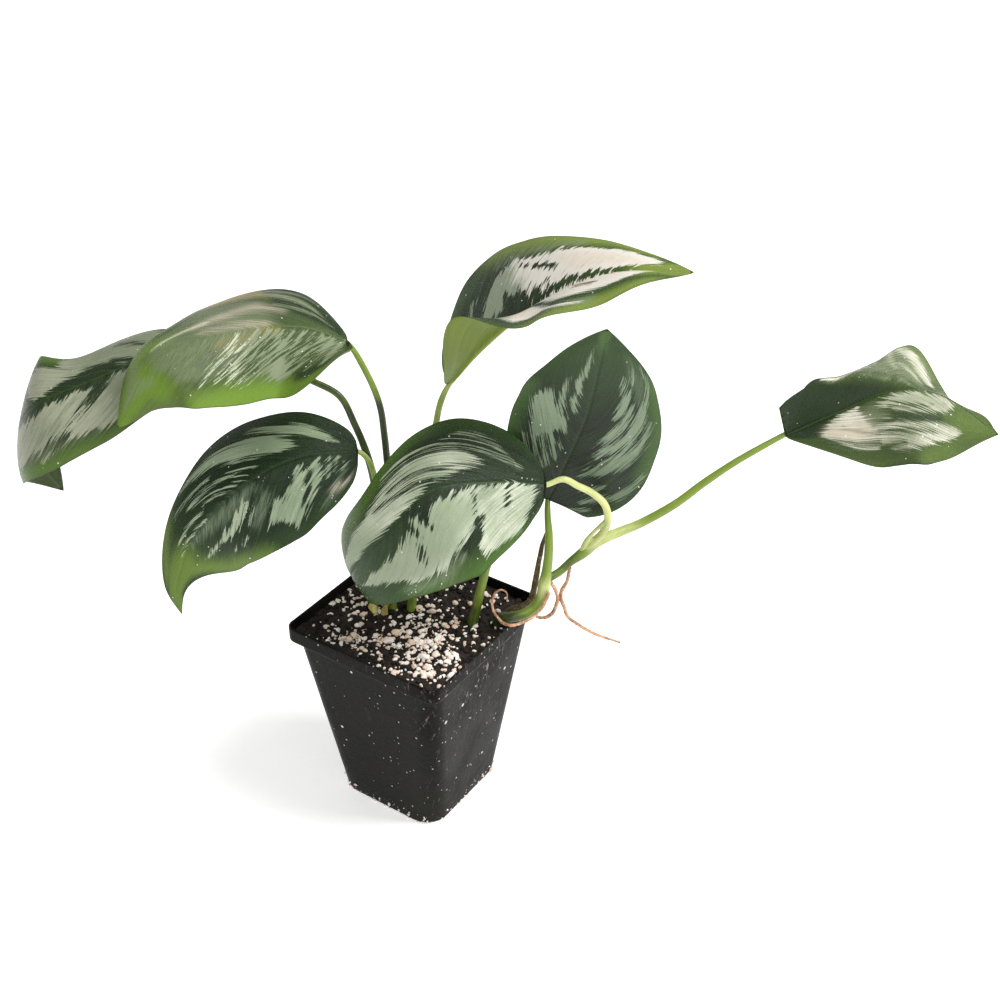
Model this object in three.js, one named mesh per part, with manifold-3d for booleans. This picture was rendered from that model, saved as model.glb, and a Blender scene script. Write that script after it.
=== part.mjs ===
// A young scindapsus in a square nursery pot.
// Millimetres, +Z up. The origin is the middle of the pot's underside, and X and Y run along its sides.

import * as THREE from 'three';
import { mergeVertices } from 'three/addons/utils/BufferGeometryUtils.js';
import Module from 'manifold-3d';

const wasm = await Module();
wasm.setup();

// Pot: a tapering square with round corners, and a straight collar round its rim
const POT_HEIGHT = 107;
const RIM_WIDTH = 90;
const BASE_WIDTH = 61;
const WALL = 1.2;
const FLOOR = 1.6;
const COLLAR_HEIGHT = 8;
const COLLAR_STEP = 2.4;
const BASE_CORNER = 12;
const SHOULDER_CORNER = 9;
const RIM_CORNER = 5;
const DRAIN_RADIUS = 4;
const DRAIN_PLACE = 20;
const CORNER_STEPS = 4;

// Soil: a block that fills the pot to a little below the rim
const SOIL_TOP = 101.6;
const CLEARANCE = 0.35;
const SOCKET_GAP = 0.6;
const SOCKET_STEPS = 6;
const SOCKET_RISE = 7;
const SOIL_RELIEF = 0.4;
const GRAIN_COUNT = 66;
const GRAIN_SIZE = [1.3, 2.6];
const GRAIN_SEED = 11;

// Leaf blades
const BLADE = 0.8;
const MIDRIB_BASE = 1.5;
const BLADE_ROWS = 20;
const BLADE_COLUMNS = [0, 0.06, 0.28, 0.52, 0.76, 1];
const ROW_POWER = 1.15;
const WALK_STEPS = 12;
const LOBE_REACH = 0.34;
const LOBE_START = 0.03;
const CREASE_WIDTH = 0.22;
const CREASE_ENDS = [0.7, 0.85];
const NORMAL_STEP = 0.012;
const NORMAL_ENDS = [0.032, 0.97];

// Stalks, stems and roots
const STALK_SIDES = 8;
const STALK_STEPS = 16;
const ROOT_SIDES = 6;
const ROOT_STEPS = 28;

const LEAF_GREEN = { color: 0x3f6b35, roughness: 0.42, metalness: 0 };
const STALK_GREEN = { color: 0x8fa84e, roughness: 0.5, metalness: 0 };
const SHEATH_TAN = { color: 0xb79a62, roughness: 0.8, metalness: 0 };
const ROOT_TAN = { color: 0xc79878, roughness: 0.8, metalness: 0 };
const POT_BLACK = { color: 0x2b2a29, roughness: 0.5, metalness: 0 };
const PEAT_BROWN = { color: 0x2a211c, roughness: 0.95, metalness: 0 };

const UP = new THREE.Vector3(0, 0, 1);

function vector(point) {
  return new THREE.Vector3(...point);
}

// Eased value on a list of values that are spread evenly from the start (0) to the end (1)
function along(values, place) {
  if (values.length === 1) return values[0];
  const scaled = Math.min(Math.max(place, 0), 1) * (values.length - 1);
  const step = Math.min(Math.floor(scaled), values.length - 2);
  const part = scaled - step;
  const eased = values.length === 2 ? part : part * part * (3 - 2 * part);
  return values[step] * (1 - eased) + values[step + 1] * eased;
}

function smooth(value) {
  const part = Math.min(Math.max(value, 0), 1);
  return part * part * (3 - 2 * part);
}

function meshOf(name, geometry, look) {
  const mesh = new THREE.Mesh(geometry, new THREE.MeshStandardMaterial(look));
  mesh.name = name;
  return mesh;
}

function geometryOf(points, faces) {
  const geometry = new THREE.BufferGeometry();
  const flat = points.flatMap((point) => [point.x, point.y, point.z]);
  geometry.setAttribute('position', new THREE.Float32BufferAttribute(flat, 3));
  geometry.setIndex(faces.flat());
  return geometry;
}

// Booleans on closed meshes
function solidOf(geometry) {
  const bare = geometry.clone();
  bare.deleteAttribute('normal');
  bare.deleteAttribute('uv');
  const merged = mergeVertices(bare, 1e-4);
  return new wasm.Manifold(new wasm.Mesh({
    numProp: 3,
    vertProperties: new Float32Array(merged.attributes.position.array),
    triVerts: new Uint32Array(merged.index.array),
  }));
}

function geometryOfSolid(solid) {
  const mesh = solid.getMesh();
  const geometry = new THREE.BufferGeometry();
  geometry.setAttribute('position', new THREE.BufferAttribute(new Float32Array(mesh.vertProperties), 3));
  geometry.setIndex(new THREE.BufferAttribute(new Uint32Array(mesh.triVerts), 1));
  return geometry;
}

function joined(geometries) {
  return geometryOfSolid(geometries.map(solidOf).reduce((sum, solid) => sum.add(solid)));
}

// Seeded random numbers from 0 up to 1
function seeded(seed) {
  let state = seed;
  return () => {
    state = (state * 1664525 + 1013904223) % 4294967296;
    return state / 4294967296;
  };
}

// Stalk, stem or root: a tube along a smooth curve, with its radius given at even steps
function stalk(curve, radii, sides, start = 0, end = 1, steps = 18) {
  const points = [];
  const faces = [];
  const at = (step) => start + (end - start) * step / steps;
  const tangents = [];
  for (let step = 0; step <= steps; step += 1) tangents.push(curve.getTangentAt(at(step)));
  const side = new THREE.Vector3().crossVectors(tangents[0], UP);
  if (side.length() < 0.1) side.set(1, 0, 0);
  for (let step = 0; step <= steps; step += 1) {
    const middle = curve.getPointAt(at(step));
    const tangent = tangents[step];
    side.addScaledVector(tangent, -side.dot(tangent)).normalize();
    const across = new THREE.Vector3().crossVectors(tangent, side);
    const radius = along(radii, at(step));
    for (let corner = 0; corner < sides; corner += 1) {
      const angle = 2 * Math.PI * corner / sides;
      points.push(middle.clone()
        .addScaledVector(side, radius * Math.cos(angle))
        .addScaledVector(across, radius * Math.sin(angle)));
    }
  }
  for (let step = 0; step < steps; step += 1) {
    for (let corner = 0; corner < sides; corner += 1) {
      const here = step * sides + corner;
      const next = step * sides + (corner + 1) % sides;
      faces.push([here, next, next + sides], [here, next + sides, here + sides]);
    }
  }
  const first = points.push(curve.getPointAt(start)) - 1;
  const last = points.push(curve.getPointAt(end)) - 1;
  const top = steps * sides;
  for (let corner = 0; corner < sides; corner += 1) {
    const next = (corner + 1) % sides;
    faces.push([first, next, corner], [last, top + corner, top + next]);
  }
  return geometryOf(points, faces);
}

function curveOf(points) {
  return new THREE.CatmullRomCurve3(points.map(vector));
}

// Leaf blade: the midrib is a curve, and each half is walked out from it in short steps that turn
// by the fold at the midrib, by the curl towards the margin, and by a crease where there is one
function outline(place, widest, point, blunt) {
  if (place < widest) {
    const part = (widest - place) / widest;
    return Math.sqrt(Math.max(0, 1 - part * part)) ** blunt;
  }
  const part = (place - widest) / (1 - widest);
  return Math.max(0, (1 - part ** 1.9) * (1 - 2 * point * part ** 3 * (1 - part)));
}

function facing(angles, place) {
  const turns = angles.map(([azimuth, height]) => {
    const turn = THREE.MathUtils.degToRad(azimuth);
    const rise = THREE.MathUtils.degToRad(height);
    return [Math.cos(rise) * Math.cos(turn), Math.cos(rise) * Math.sin(turn), Math.sin(rise)];
  });
  return new THREE.Vector3(
    along(turns.map((turn) => turn[0]), place),
    along(turns.map((turn) => turn[1]), place),
    along(turns.map((turn) => turn[2]), place),
  );
}

function bladePoint(leaf, curve, place, across) {
  const half = across < 0 ? leaf.left : leaf.right;
  const side = across < 0 ? -1 : 1;
  const out = Math.abs(across);
  const soft = leaf.soft;
  const tangent = curve.getPointAt(Math.min(place + soft, 1))
    .sub(curve.getPointAt(Math.max(place - soft, 0))).normalize();
  const sideways = new THREE.Vector3().crossVectors(tangent, facing(leaf.face, place)).normalize();
  const normal = new THREE.Vector3().crossVectors(sideways, tangent);
  const width = half.width * along(half.trim, place)
    * outline(place, half.widest ?? leaf.widest, leaf.point, half.blunt);
  const fold = along(half.fold, place);
  const curl = along(half.curl, place);
  let run = 0;
  let rise = 0;
  for (let step = 0; step < WALK_STEPS; step += 1) {
    const reached = (step + 0.5) / WALK_STEPS * out;
    let turn = fold + curl * reached;
    if (half.crease) {
      const past = (reached - along(half.crease.at, place)) / CREASE_WIDTH + 0.5;
      turn += along(half.crease.turn, place) * smooth(past);
    }
    const angle = THREE.MathUtils.degToRad(turn);
    run += Math.cos(angle) * out / WALK_STEPS;
    rise += Math.sin(angle) * out / WALK_STEPS;
  }
  const lobe = half.lobe * out * Math.max(0, 1 - place / LOBE_REACH) ** 1.5
    * Math.min(1, place / LOBE_START);
  const sweep = half.sweep * out * out * Math.sin(Math.PI * place);
  const wave = (half.wave ?? leaf.wave) * out * out * Math.sin(Math.PI * Math.min(1, place * 1.05))
    * Math.sin(2 * Math.PI * (leaf.waves * place + half.phase));
  return curve.getPointAt(place)
    .addScaledVector(sideways, side * width * run)
    .addScaledVector(normal, width * rise + wave)
    .addScaledVector(tangent, sweep - lobe);
}

function bladeNormal(leaf, curve, place, across) {
  const middle = Math.min(Math.max(place, NORMAL_ENDS[0]), NORMAL_ENDS[1]);
  const [low, high] = [middle - NORMAL_STEP, middle + NORMAL_STEP];
  const lengthwise = bladePoint(leaf, curve, high, across).sub(bladePoint(leaf, curve, low, across));
  const sideways = bladePoint(leaf, curve, middle, Math.min(across + 0.05, 1))
    .sub(bladePoint(leaf, curve, middle, Math.max(across - 0.05, -1)));
  return new THREE.Vector3().crossVectors(sideways, lengthwise).normalize();
}

// Places across a half: where it is creased, two columns run along the sides of the crease
function placeAcross(leaf, place, column) {
  const { crease } = column < 0 ? leaf.left : leaf.right;
  if (!crease) return column;
  const out = Math.abs(column);
  const [before, after] = BLADE_COLUMNS.slice(2, 4);
  const at = along(crease.at, place);
  const low = THREE.MathUtils.clamp(at - CREASE_WIDTH / 2, 2 * BLADE_COLUMNS[1], CREASE_ENDS[0]);
  const high = THREE.MathUtils.clamp(at + CREASE_WIDTH / 2, before, CREASE_ENDS[1]);
  if (out <= BLADE_COLUMNS[1]) return column;
  if (out <= before) return Math.sign(column) * low;
  return Math.sign(column) * (high + (1 - high) * (out - after) / (1 - after));
}

function blade(leaf) {
  const curve = curveOf(leaf.midrib);
  const columns = [...BLADE_COLUMNS.slice(1).reverse().map((column) => -column), ...BLADE_COLUMNS];
  const middle = BLADE_COLUMNS.length - 1;
  const count = columns.length;
  const tops = [];
  const unders = [];
  const add = (place, column) => {
    const across = placeAcross(leaf, place, column);
    const top = bladePoint(leaf, curve, place, across);
    const rib = column === 0 ? MIDRIB_BASE * (1 - place) : 0;
    tops.push(top);
    unders.push(top.clone().addScaledVector(bladeNormal(leaf, curve, place, across), -BLADE - rib));
  };
  add(0, 0);
  for (let row = 1; row < BLADE_ROWS; row += 1) {
    const place = (row / BLADE_ROWS) ** ROW_POWER;
    columns.forEach((column) => add(place, column));
  }
  add(1, 0);
  const tip = tops.length - 1;
  const at = (row, column) => 1 + (row - 1) * count + column;
  const faces = [];
  for (let column = 0; column < count - 1; column += 1) {
    faces.push([0, at(1, column + 1), at(1, column)]);
    faces.push([tip, at(BLADE_ROWS - 1, column), at(BLADE_ROWS - 1, column + 1)]);
  }
  for (let row = 1; row < BLADE_ROWS - 1; row += 1) {
    for (let column = 0; column < count - 1; column += 1) {
      const [a, b] = [at(row, column), at(row, column + 1)];
      const [c, d] = [at(row + 1, column + 1), at(row + 1, column)];
      if (column < middle) faces.push([a, b, c], [a, c, d]);
      else faces.push([a, b, d], [b, c, d]);
    }
  }
  const shift = tops.length;
  const all = faces.concat(faces.map(([a, b, c]) => [a + shift, c + shift, b + shift]));
  const edge = [0];
  for (let row = 1; row < BLADE_ROWS; row += 1) edge.push(at(row, 0));
  edge.push(tip);
  for (let row = BLADE_ROWS - 1; row > 0; row -= 1) edge.push(at(row, count - 1));
  edge.forEach((here, index) => {
    const next = edge[(index + 1) % edge.length];
    all.push([here, next, next + shift], [here, next + shift, here + shift]);
  });
  return geometryOf(tops.concat(unders), all);
}

function half(width, trim, fold, curl, more = {}) {
  return { width, trim, fold, curl, blunt: 0.9, lobe: 0, sweep: 0, phase: 0, ...more };
}

// Leaves: midrib points from the stalk to the tip, and the way the upper face looks at even steps
// along it, as azimuth and height in degrees. Left and right are as seen from the stalk. A half has
// its width, the share of it that is there at even steps, its fold and its curl.
const leaves = {
  leaf_1: {
    midrib: [[-100, -17, 228], [-120, -39, 229], [-139, -61, 220], [-158, -79, 210],
      [-180, -76, 184], [-188, -62.7, 161], [-182, -54, 140]],
    face: [[-60, 66], [-58, 62], [-62, 48], [-146, 0], [124, -33]],
    left: half(32, [1, 1, 0.9, 0.94, 1.02, 1.05, 1.03, 1.04, 1.08],
      [0, -10, 0, 0, 0], [-10, -30, -10], { lobe: 2 }),
    right: half(32, [1, 1, 0.9, 0.66, 0.95, 1.05, 1, 1, 1],
      [-10, -10, -10, 0, 0], [-10, -28, -28, 0, -10], { lobe: 2, wave: 2, phase: 0.32 }),
    widest: 0.45, point: 0.2, soft: 0.08, wave: 1, waves: 2.3,
  },
  leaf_2: {
    midrib: [[-39, 8, 241], [-54, -5, 249], [-75, -27, 250], [-97, -54, 243], [-109, -74, 211]],
    face: [[-60, 68], [-56, 66], [-80, 45]],
    left: half(38, [1.3, 1.25, 0.97, 0.92, 0.93, 0.98, 0.95, 0.8, 1],
      [5, -8, -8, 0, 0], [75, -20, -25, -20, -20], { lobe: 5, sweep: 6 }),
    right: half(36, [0.5, 0.92, 1.18, 1.26, 1.09, 0.76, 0.85, 1, 1],
      [-5, -15, -12], [-20, -30, -20]),
    widest: 0.38, point: 0.2, soft: 0.14, wave: 1, waves: 2.3,
  },
  leaf_3: {
    midrib: [[-29.4, -0.5, 189.3], [-49.4, -18.5, 188.3], [-70.3, -37.5, 174.3], [-88.3, -55.5, 148.3],
      [-94.5, -65, 122], [-93.3, -65.5, 106.3]],
    face: [[-60, 45], [-62, 42], [-60, 25]],
    left: half(37, [0.9, 0.98, 0.99, 0.95, 0.94, 0.99, 1.1, 0.55, 0.3],
      [0], [-20], { lobe: 1 }),
    right: half(30, [0.85, 0.92, 1, 1.11, 1.13, 1.02, 0.96, 0.9, 1],
      [0, -10, 0], [-20, -30, -20], { lobe: 1 }),
    widest: 0.40, point: 0.9, soft: 0.14, wave: 1, waves: 2.3,
  },
  leaf_4: {
    midrib: [[57, 29, 186], [39, 10, 191], [20, -11, 190], [5, -26, 169], [-14, -29, 141], [-21, -9, 120]],
    face: [[-56, 40], [-56, 40], [-120, -10]],
    left: half(38, [1.04, 1.14, 1.2, 1.17, 1.04, 0.97, 0.9, 0.8, 1],
      [0], [-10, -20, -10], { lobe: -2 }),
    right: half(34.5, [1, 1, 1.05, 0.92, 0.86, 0.82, 1, 1.25, 1.1],
      [0, -8, 0], [-20, -35, -20], { widest: 0.4, lobe: -2, sweep: -5 }),
    widest: 0.46, point: 0, soft: 0.2, wave: 1, waves: 2.3,
  },
  leaf_5: {
    midrib: [[2, 28, 222], [15, 37, 241], [41, 49, 267], [71, 60, 284], [103, 70, 288]],
    face: [[196, 25], [-120, 77], [-56, 78]],
    left: half(39, [1, 1, 1.28, 1.32, 1.17, 1.08, 1.03, 0.95, 1],
      [35, 20, 8], [0, -15, -10], { blunt: 0.75, sweep: -12 }),
    right: half(34, [1, 0.96, 1, 1.05, 0.95, 0.95, 0.95, 0.8, 0.8],
      [10, 50, 14, -3, 0], [0, -5, 0], { blunt: 1.3 }),
    widest: 0.42, point: 0.8, soft: 0.14, wave: 1, waves: 2.3,
  },
  leaf_6: {
    midrib: [[49, 43, 167], [57, 46, 190], [65, 49, 215], [71, 48, 242], [76, 45, 264]],
    face: [[-56, 8], [-56, 4], [-56, 0]],
    left: half(33, [1, 1, 1, 1, 1.02, 1.09, 1.1, 1.25, 1.4],
      [4], [-22], { lobe: 5 }),
    right: half(36.5, [1.4, 1.25, 1.15, 1.05, 1, 0.99, 1.05, 1.06, 1],
      [5], [-12], { lobe: 7 }),
    widest: 0.42, point: 0.4, soft: 0.14, wave: 1, waves: 2.3,
  },
  leaf_7: {
    midrib: [[138, 106, 201], [159, 120, 215], [177, 130, 226], [197, 138, 226.5], [223, 147, 210]],
    face: [[-56, 58], [-56, 55], [-40, 50]],
    left: half(32, [1.1, 0.76, 0.7, 1, 1.55, 0.85, 0.8, 0.7, 0.5],
      [66, 54, 55, 42, 30], [0], {
      widest: 0.55, blunt: 0.35, lobe: -16, sweep: 9, wave: 7, phase: 0,
      crease: { at: [1.1, 0.75, 0.1, -0.2, -0.2], turn: [-108, -106, -104, -100, -30] },
    }),
    right: half(35, [0.4, 0.78, 1, 1, 1, 1.08, 1.2, 1.3, 1.1],
      [0, -5, -10], [-10, -20, -20], { blunt: 1.2, sweep: 6 }),
    widest: 0.46, point: 0.2, soft: 0.14, wave: 1, waves: 2.3,
  },
};

// Stems that stand in the soil: points from the foot up, and the radius at even steps.
// A leaf stalk ends just short of its leaf.
const standing = {
  petiole_1: {
    points: [[-19, 3, 89], [-19.8, 3.8, 101], [-22.6, 5.4, 136], [-28, 8, 169], [-32, 8, 184],
      [-38, 8, 197], [-45, 7, 210], [-56, 3, 216], [-79, -8, 224], [-99.8, -16.9, 228]],
    radii: [2.7, 2.6, 2.3, 2.1, 1.9, 1.7, 1.6, 1.5, 1.4],
    short: 0.4,
  },
  petiole_2: {
    points: [[-15.5, 10.5, 89], [-16.3, 11, 101], [-19.5, 12, 135], [-23, 13, 173], [-25, 14, 192],
      [-27, 14, 208], [-32, 12, 224], [-38.9, 8.1, 241.2]],
    radii: [2.4, 2.3, 2.1, 1.9, 1.7, 1.5],
    short: 1.7,
  },
  petiole_3: {
    points: [[-13, 0, 89], [-13.5, 0.2, 101], [-16.5, 1.5, 120], [-20.7, 3.3, 152], [-23.3, 3.4, 174],
      [-25.7, 2.1, 184], [-28.9, -0.1, 188.9]],
    radii: [2.2, 2.1, 1.9, 1.7, 1.5, 1.4],
    short: 0.7,
  },
  petiole_5: {
    points: [[-5.9, 4, 89], [-5.9, 4.8, 101], [-6, 11, 130], [-4.5, 19, 170], [-2, 24, 200],
      [0, 26, 213], [2, 28, 222]],
    radii: [2.4, 2.3, 2.1, 1.9, 1.7, 1.5],
    short: 0.9,
  },
  shoot: {
    points: [[23.5, 13.3, 88], [24.5, 13.6, 98], [26, 14.2, 106], [29.9, 14.3, 123.9],
      [31.8, 16.8, 136.2], [35, 21.4, 150.5], [36.6, 24.9, 164]],
    radii: [2.9, 2.8, 2.5, 2.2, 1.9, 1.4, 0.7],
    short: 0,
  },
  old_sheath: {
    points: [[32, 30, 88], [32.7, 29.5, 98], [38.6, 27.8, 106.8], [45, 28.2, 111], [47.5, 31, 114],
      [49.6, 31.2, 123], [49.8, 35, 137.5], [50.2, 38, 147.5], [51, 41.7, 154.5]],
    radii: [1.7, 1.7, 1.6, 1.5, 1.3],
    look: SHEATH_TAN,
    short: 0,
  },
  dry_sheath: {
    points: [[-15.7, -4.2, 93], [-15.5, -4.6, 102], [-14.3, -3.8, 107.5], [-12, -3.2, 113.5]],
    radii: [1.3, 1.3, 1.1, 0.5],
    steps: 6,
    look: SHEATH_TAN,
    short: 0,
  },
  stub: {
    points: [[-25, -2.5, 101], [-21.5, -5.3, 103], [-18.8, -7.6, 102.2]],
    radii: [1.6, 2.4, 2.2, 1.4],
    steps: 6,
    look: SHEATH_TAN,
    short: CLEARANCE,
  },
};

// Vine: it leaves the soil by the right corner, lies over the rim and climbs to its first node.
// From there one arm goes on as the stalk of leaf 6, and one goes out to the second node, which
// carries the arching stalk of leaf 4, its sheath wing and the long stalk of leaf 7. The stem ends
// at each split, and the stalk goes on from it.
const vine = {
  curve: curveOf([[33.5, 21, 88], [34.5, 20.5, 98], [39, 18.8, 107.6], [45, 17.5, 111.6], [50, 21.5, 113],
    [53, 26, 115.7], [55.5, 28.5, 121.5], [56.5, 30, 131], [56.5, 32.3, 142], [55, 35, 154],
    [51.7, 38.8, 160.5], [49.3, 42.5, 166.6]]),
  radii: [2.9, 2.9, 2.8, 2.7, 2.5, 2.6, 3.1, 2.4, 2.2, 1.9, 1.6],
  split: 0.69,
  short: 0.3,
};
const outer = {
  curve: curveOf([[56.5, 30, 131], [60, 37, 133], [62.4, 43.6, 136.2], [66, 47.5, 140],
    [70, 51.3, 145], [74, 55, 148], [78, 59, 150], [87, 67, 155], [100, 76, 166], [109, 84, 176],
    [121, 93, 188], [138, 106, 201]]),
  radii: [2, 2, 2.9, 2.5, 2.2, 2.1, 2, 1.9, 1.7, 1.5, 1.4],
  split: 0.3,
  short: 0.4,
};
const arch = {
  curve: curveOf([[66, 47.5, 140], [70.5, 50, 147], [75, 52, 154], [76.5, 52.5, 162],
    [75.5, 50, 171], [71, 46, 177.5], [67, 40, 183], [62, 35, 187.5], [57.3, 29.4, 186.1]]),
  radii: [2, 2, 1.9, 1.8, 1.7, 1.6],
  split: 0.42,
  short: 0,
};
const wing = {
  curve: curveOf([[66, 47.5, 140], [67.5, 48, 146.5], [70.5, 48.5, 152.5], [75.5, 51, 160]]),
  radii: [1.8, 1.4, 1, 0.9],
};

// Aerial roots
const roots = {
  aerial_root_1: {
    points: [[62, 43.4, 132.7], [61.5, 41.8, 125], [60.1, 39.7, 120.3], [59.3, 40.3, 114.7],
      [60.1, 42.1, 109], [61.3, 44.1, 102], [64.1, 48.4, 96.1], [68.6, 53.9, 89.5],
      [72.2, 59.9, 83.9], [77.9, 68.7, 76.9]],
    radii: [0.9, 0.9, 0.8, 0.8, 0.6],
  },
  aerial_root_2: {
    points: [[57.2, 33.9, 128], [58.5, 36.5, 121.5], [59.2, 37.5, 115.5], [58.6, 36.2, 111],
      [57.5, 35, 107.8], [55.4, 33.5, 105.9], [53, 32, 105.3], [50.9, 30.5, 106.8]],
    radii: [0.9, 0.9, 1, 1],
  },
  aerial_root_3: {
    points: [[60.2, 27.7, 126.5], [59.4, 26.4, 122.2], [58.1, 25.1, 118.3], [56.4, 23.3, 115],
      [54.7, 20.6, 113], [51.4, 16.1, 111.4], [48.5, 13.2, 111], [44.5, 12.5, 110.8],
      [39.9, 14, 111.5], [37.5, 13.7, 115], [36, 14.8, 118.3], [36.1, 17.3, 122.3],
      [37.7, 20.3, 123.2], [39.6, 22.3, 120.6], [40.6, 20.8, 117.4]],
    radii: [0.9, 0.8, 0.7, 0.6, 0.45],
  },
};

// Pot and soil: rings of a square with round corners, joined from one to the next
function roundSquare(halfWidth, corner, height) {
  const ring = [];
  for (let turn = 0; turn < 4; turn += 1) {
    const middle = Math.PI / 4 + turn * Math.PI / 2;
    const place = (halfWidth - corner) * Math.SQRT2;
    for (let step = 0; step <= CORNER_STEPS; step += 1) {
      const angle = turn * Math.PI / 2 + step / CORNER_STEPS * Math.PI / 2;
      ring.push(new THREE.Vector3(
        place * Math.cos(middle) + corner * Math.cos(angle),
        place * Math.sin(middle) + corner * Math.sin(angle),
        height,
      ));
    }
  }
  return ring;
}

function loft(rings) {
  const count = rings[0].length;
  const points = rings.flat();
  const faces = [];
  for (let ring = 0; ring < rings.length - 1; ring += 1) {
    for (let corner = 0; corner < count; corner += 1) {
      const here = ring * count + corner;
      const next = ring * count + (corner + 1) % count;
      faces.push([here, next, next + count], [here, next + count, here + count]);
    }
  }
  const middleOf = (ring) => ring.reduce((sum, point) => sum.add(point), new THREE.Vector3())
    .divideScalar(ring.length);
  const first = points.push(middleOf(rings[0])) - 1;
  const last = points.push(middleOf(rings[rings.length - 1])) - 1;
  const top = (rings.length - 1) * count;
  for (let corner = 0; corner < count; corner += 1) {
    const next = (corner + 1) % count;
    faces.push([first, next, corner], [last, top + corner, top + next]);
  }
  return geometryOf(points, faces);
}

const rimHalf = RIM_WIDTH / 2;
const shoulderHalf = rimHalf - COLLAR_STEP;
const baseHalf = BASE_WIDTH / 2;
const ledge = POT_HEIGHT - COLLAR_HEIGHT;

function potBody() {
  const shell = loft([
    roundSquare(baseHalf, BASE_CORNER, 0),
    roundSquare(shoulderHalf, SHOULDER_CORNER, ledge),
    roundSquare(rimHalf, RIM_CORNER, ledge),
    roundSquare(rimHalf, RIM_CORNER, POT_HEIGHT),
    roundSquare(rimHalf - WALL, RIM_CORNER - WALL, POT_HEIGHT),
    roundSquare(rimHalf - WALL, RIM_CORNER - WALL, ledge + WALL),
    roundSquare(shoulderHalf - WALL, SHOULDER_CORNER - WALL, ledge + WALL),
    roundSquare(baseHalf - WALL, BASE_CORNER - WALL, FLOOR),
  ]);
  let pot = solidOf(shell);
  for (const x of [-DRAIN_PLACE, DRAIN_PLACE]) {
    for (const y of [-DRAIN_PLACE, DRAIN_PLACE]) {
      const hole = new THREE.CylinderGeometry(DRAIN_RADIUS, DRAIN_RADIUS, 3 * FLOOR, 12);
      hole.rotateX(Math.PI / 2);
      hole.translate(x, y, FLOOR / 2);
      pot = pot.subtract(solidOf(hole));
    }
  }
  return geometryOfSolid(pot);
}

function soilHeight(x, y) {
  return SOIL_TOP + SOIL_RELIEF * (Math.sin(x / 7 + 1) * Math.cos(y / 9) + 0.6 * Math.sin((x + 2 * y) / 5));
}

function soilBlock() {
  const inset = WALL + CLEARANCE;
  const low = FLOOR + CLEARANCE;
  const step = ledge + WALL + CLEARANCE;
  const rings = [
    roundSquare(baseHalf - inset, BASE_CORNER - inset, low),
    roundSquare(shoulderHalf - inset, SHOULDER_CORNER - inset, step),
    roundSquare(rimHalf - inset, RIM_CORNER - inset, step),
  ];
  for (const share of [1, 0.8, 0.58, 0.36, 0.15]) {
    const ring = roundSquare((rimHalf - inset) * share, Math.max(RIM_CORNER - inset, 0.1) * share, 0);
    ring.forEach((point) => point.setZ(soilHeight(point.x, point.y)));
    rings.push(ring);
  }
  return loft(rings);
}

// Grains of perlite and crumbs of peat, sunk into the soil
function grains() {
  const random = seeded(GRAIN_SEED);
  const reach = rimHalf - WALL - GRAIN_SIZE[1] - 1;
  const list = [];
  while (list.length < GRAIN_COUNT) {
    const x = (2 * random() - 1) * reach;
    const y = (2 * random() - 1) * reach;
    if (Math.abs(x) + Math.abs(y) > 1.75 * reach) continue;
    const size = THREE.MathUtils.lerp(GRAIN_SIZE[0], GRAIN_SIZE[1], random() ** 2);
    const grain = new THREE.OctahedronGeometry(size, 0);
    grain.scale(1, 0.8 + 0.4 * random(), 0.8);
    grain.rotateZ(Math.PI * random());
    grain.rotateX(0.5 * random());
    grain.translate(x, y, soilHeight(x, y) + 0.15 * size);
    list.push(grain);
  }
  return list;
}

function placeAbove(curve, height) {
  let place = 0;
  while (place < 1 && curve.getPointAt(place).z < height) place += 0.01;
  return Math.min(place, 1);
}

// The soil with its grains, and a plain hole for each stem
function soilBody(stems) {
  let soil = [soilBlock(), ...grains()].map(solidOf).reduce((sum, solid) => sum.add(solid));
  for (const [curve, radii] of stems) {
    const socket = radii.map((radius) => radius + SOCKET_GAP);
    const end = placeAbove(curve, SOIL_TOP + SOCKET_RISE);
    soil = soil.subtract(solidOf(stalk(curve, socket, STALK_SIDES, 0, end, SOCKET_STEPS)));
  }
  const pieces = soil.decompose().sort((a, b) => b.volume() - a.volume());
  return geometryOfSolid(pieces[0]);
}

// A stretch of a stem, with a clearance before its start and after its end
function stretch(stem, start, end, steps, before = 0, after = 0) {
  const length = stem.curve.getLength();
  return stalk(stem.curve, stem.radii, STALK_SIDES, start + before / length, end - after / length, steps);
}

const plant = new THREE.Group();
plant.add(meshOf('pot', potBody(), POT_BLACK));
const planted = Object.values(standing).map(({ points, radii }) => [curveOf(points), radii]);
planted.push([vine.curve, vine.radii]);
plant.add(meshOf('soil', soilBody(planted), PEAT_BROWN));

for (const [name, leaf] of Object.entries(leaves)) plant.add(meshOf(name, blade(leaf), LEAF_GREEN));

for (const [name, stem] of Object.entries(standing)) {
  const { points, radii, short, steps = STALK_STEPS, look = STALK_GREEN } = stem;
  const tube = stretch({ curve: curveOf(points), radii }, 0, 1, steps, CLEARANCE, short);
  plant.add(meshOf(name, tube, look));
}

const vineStem = joined([
  stretch(vine, 0, vine.split, 18, CLEARANCE),
  stretch(outer, 0, outer.split, 10),
  stretch(arch, 0, arch.split, 7),
  stretch(wing, 0, 1, 6),
]);
plant.add(meshOf('vine_stem', vineStem, STALK_GREEN));
for (const [name, stem] of [['petiole_4', arch], ['petiole_6', vine], ['petiole_7', outer]]) {
  const upper = stretch(stem, stem.split, 1, 12, CLEARANCE, stem.short);
  plant.add(meshOf(name, upper, STALK_GREEN));
}

for (const [name, { points, radii }] of Object.entries(roots)) {
  plant.add(meshOf(name, stalk(curveOf(points), radii, ROOT_SIDES, 0, 1, ROOT_STEPS), ROOT_TAN));
}

export default plant;
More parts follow.
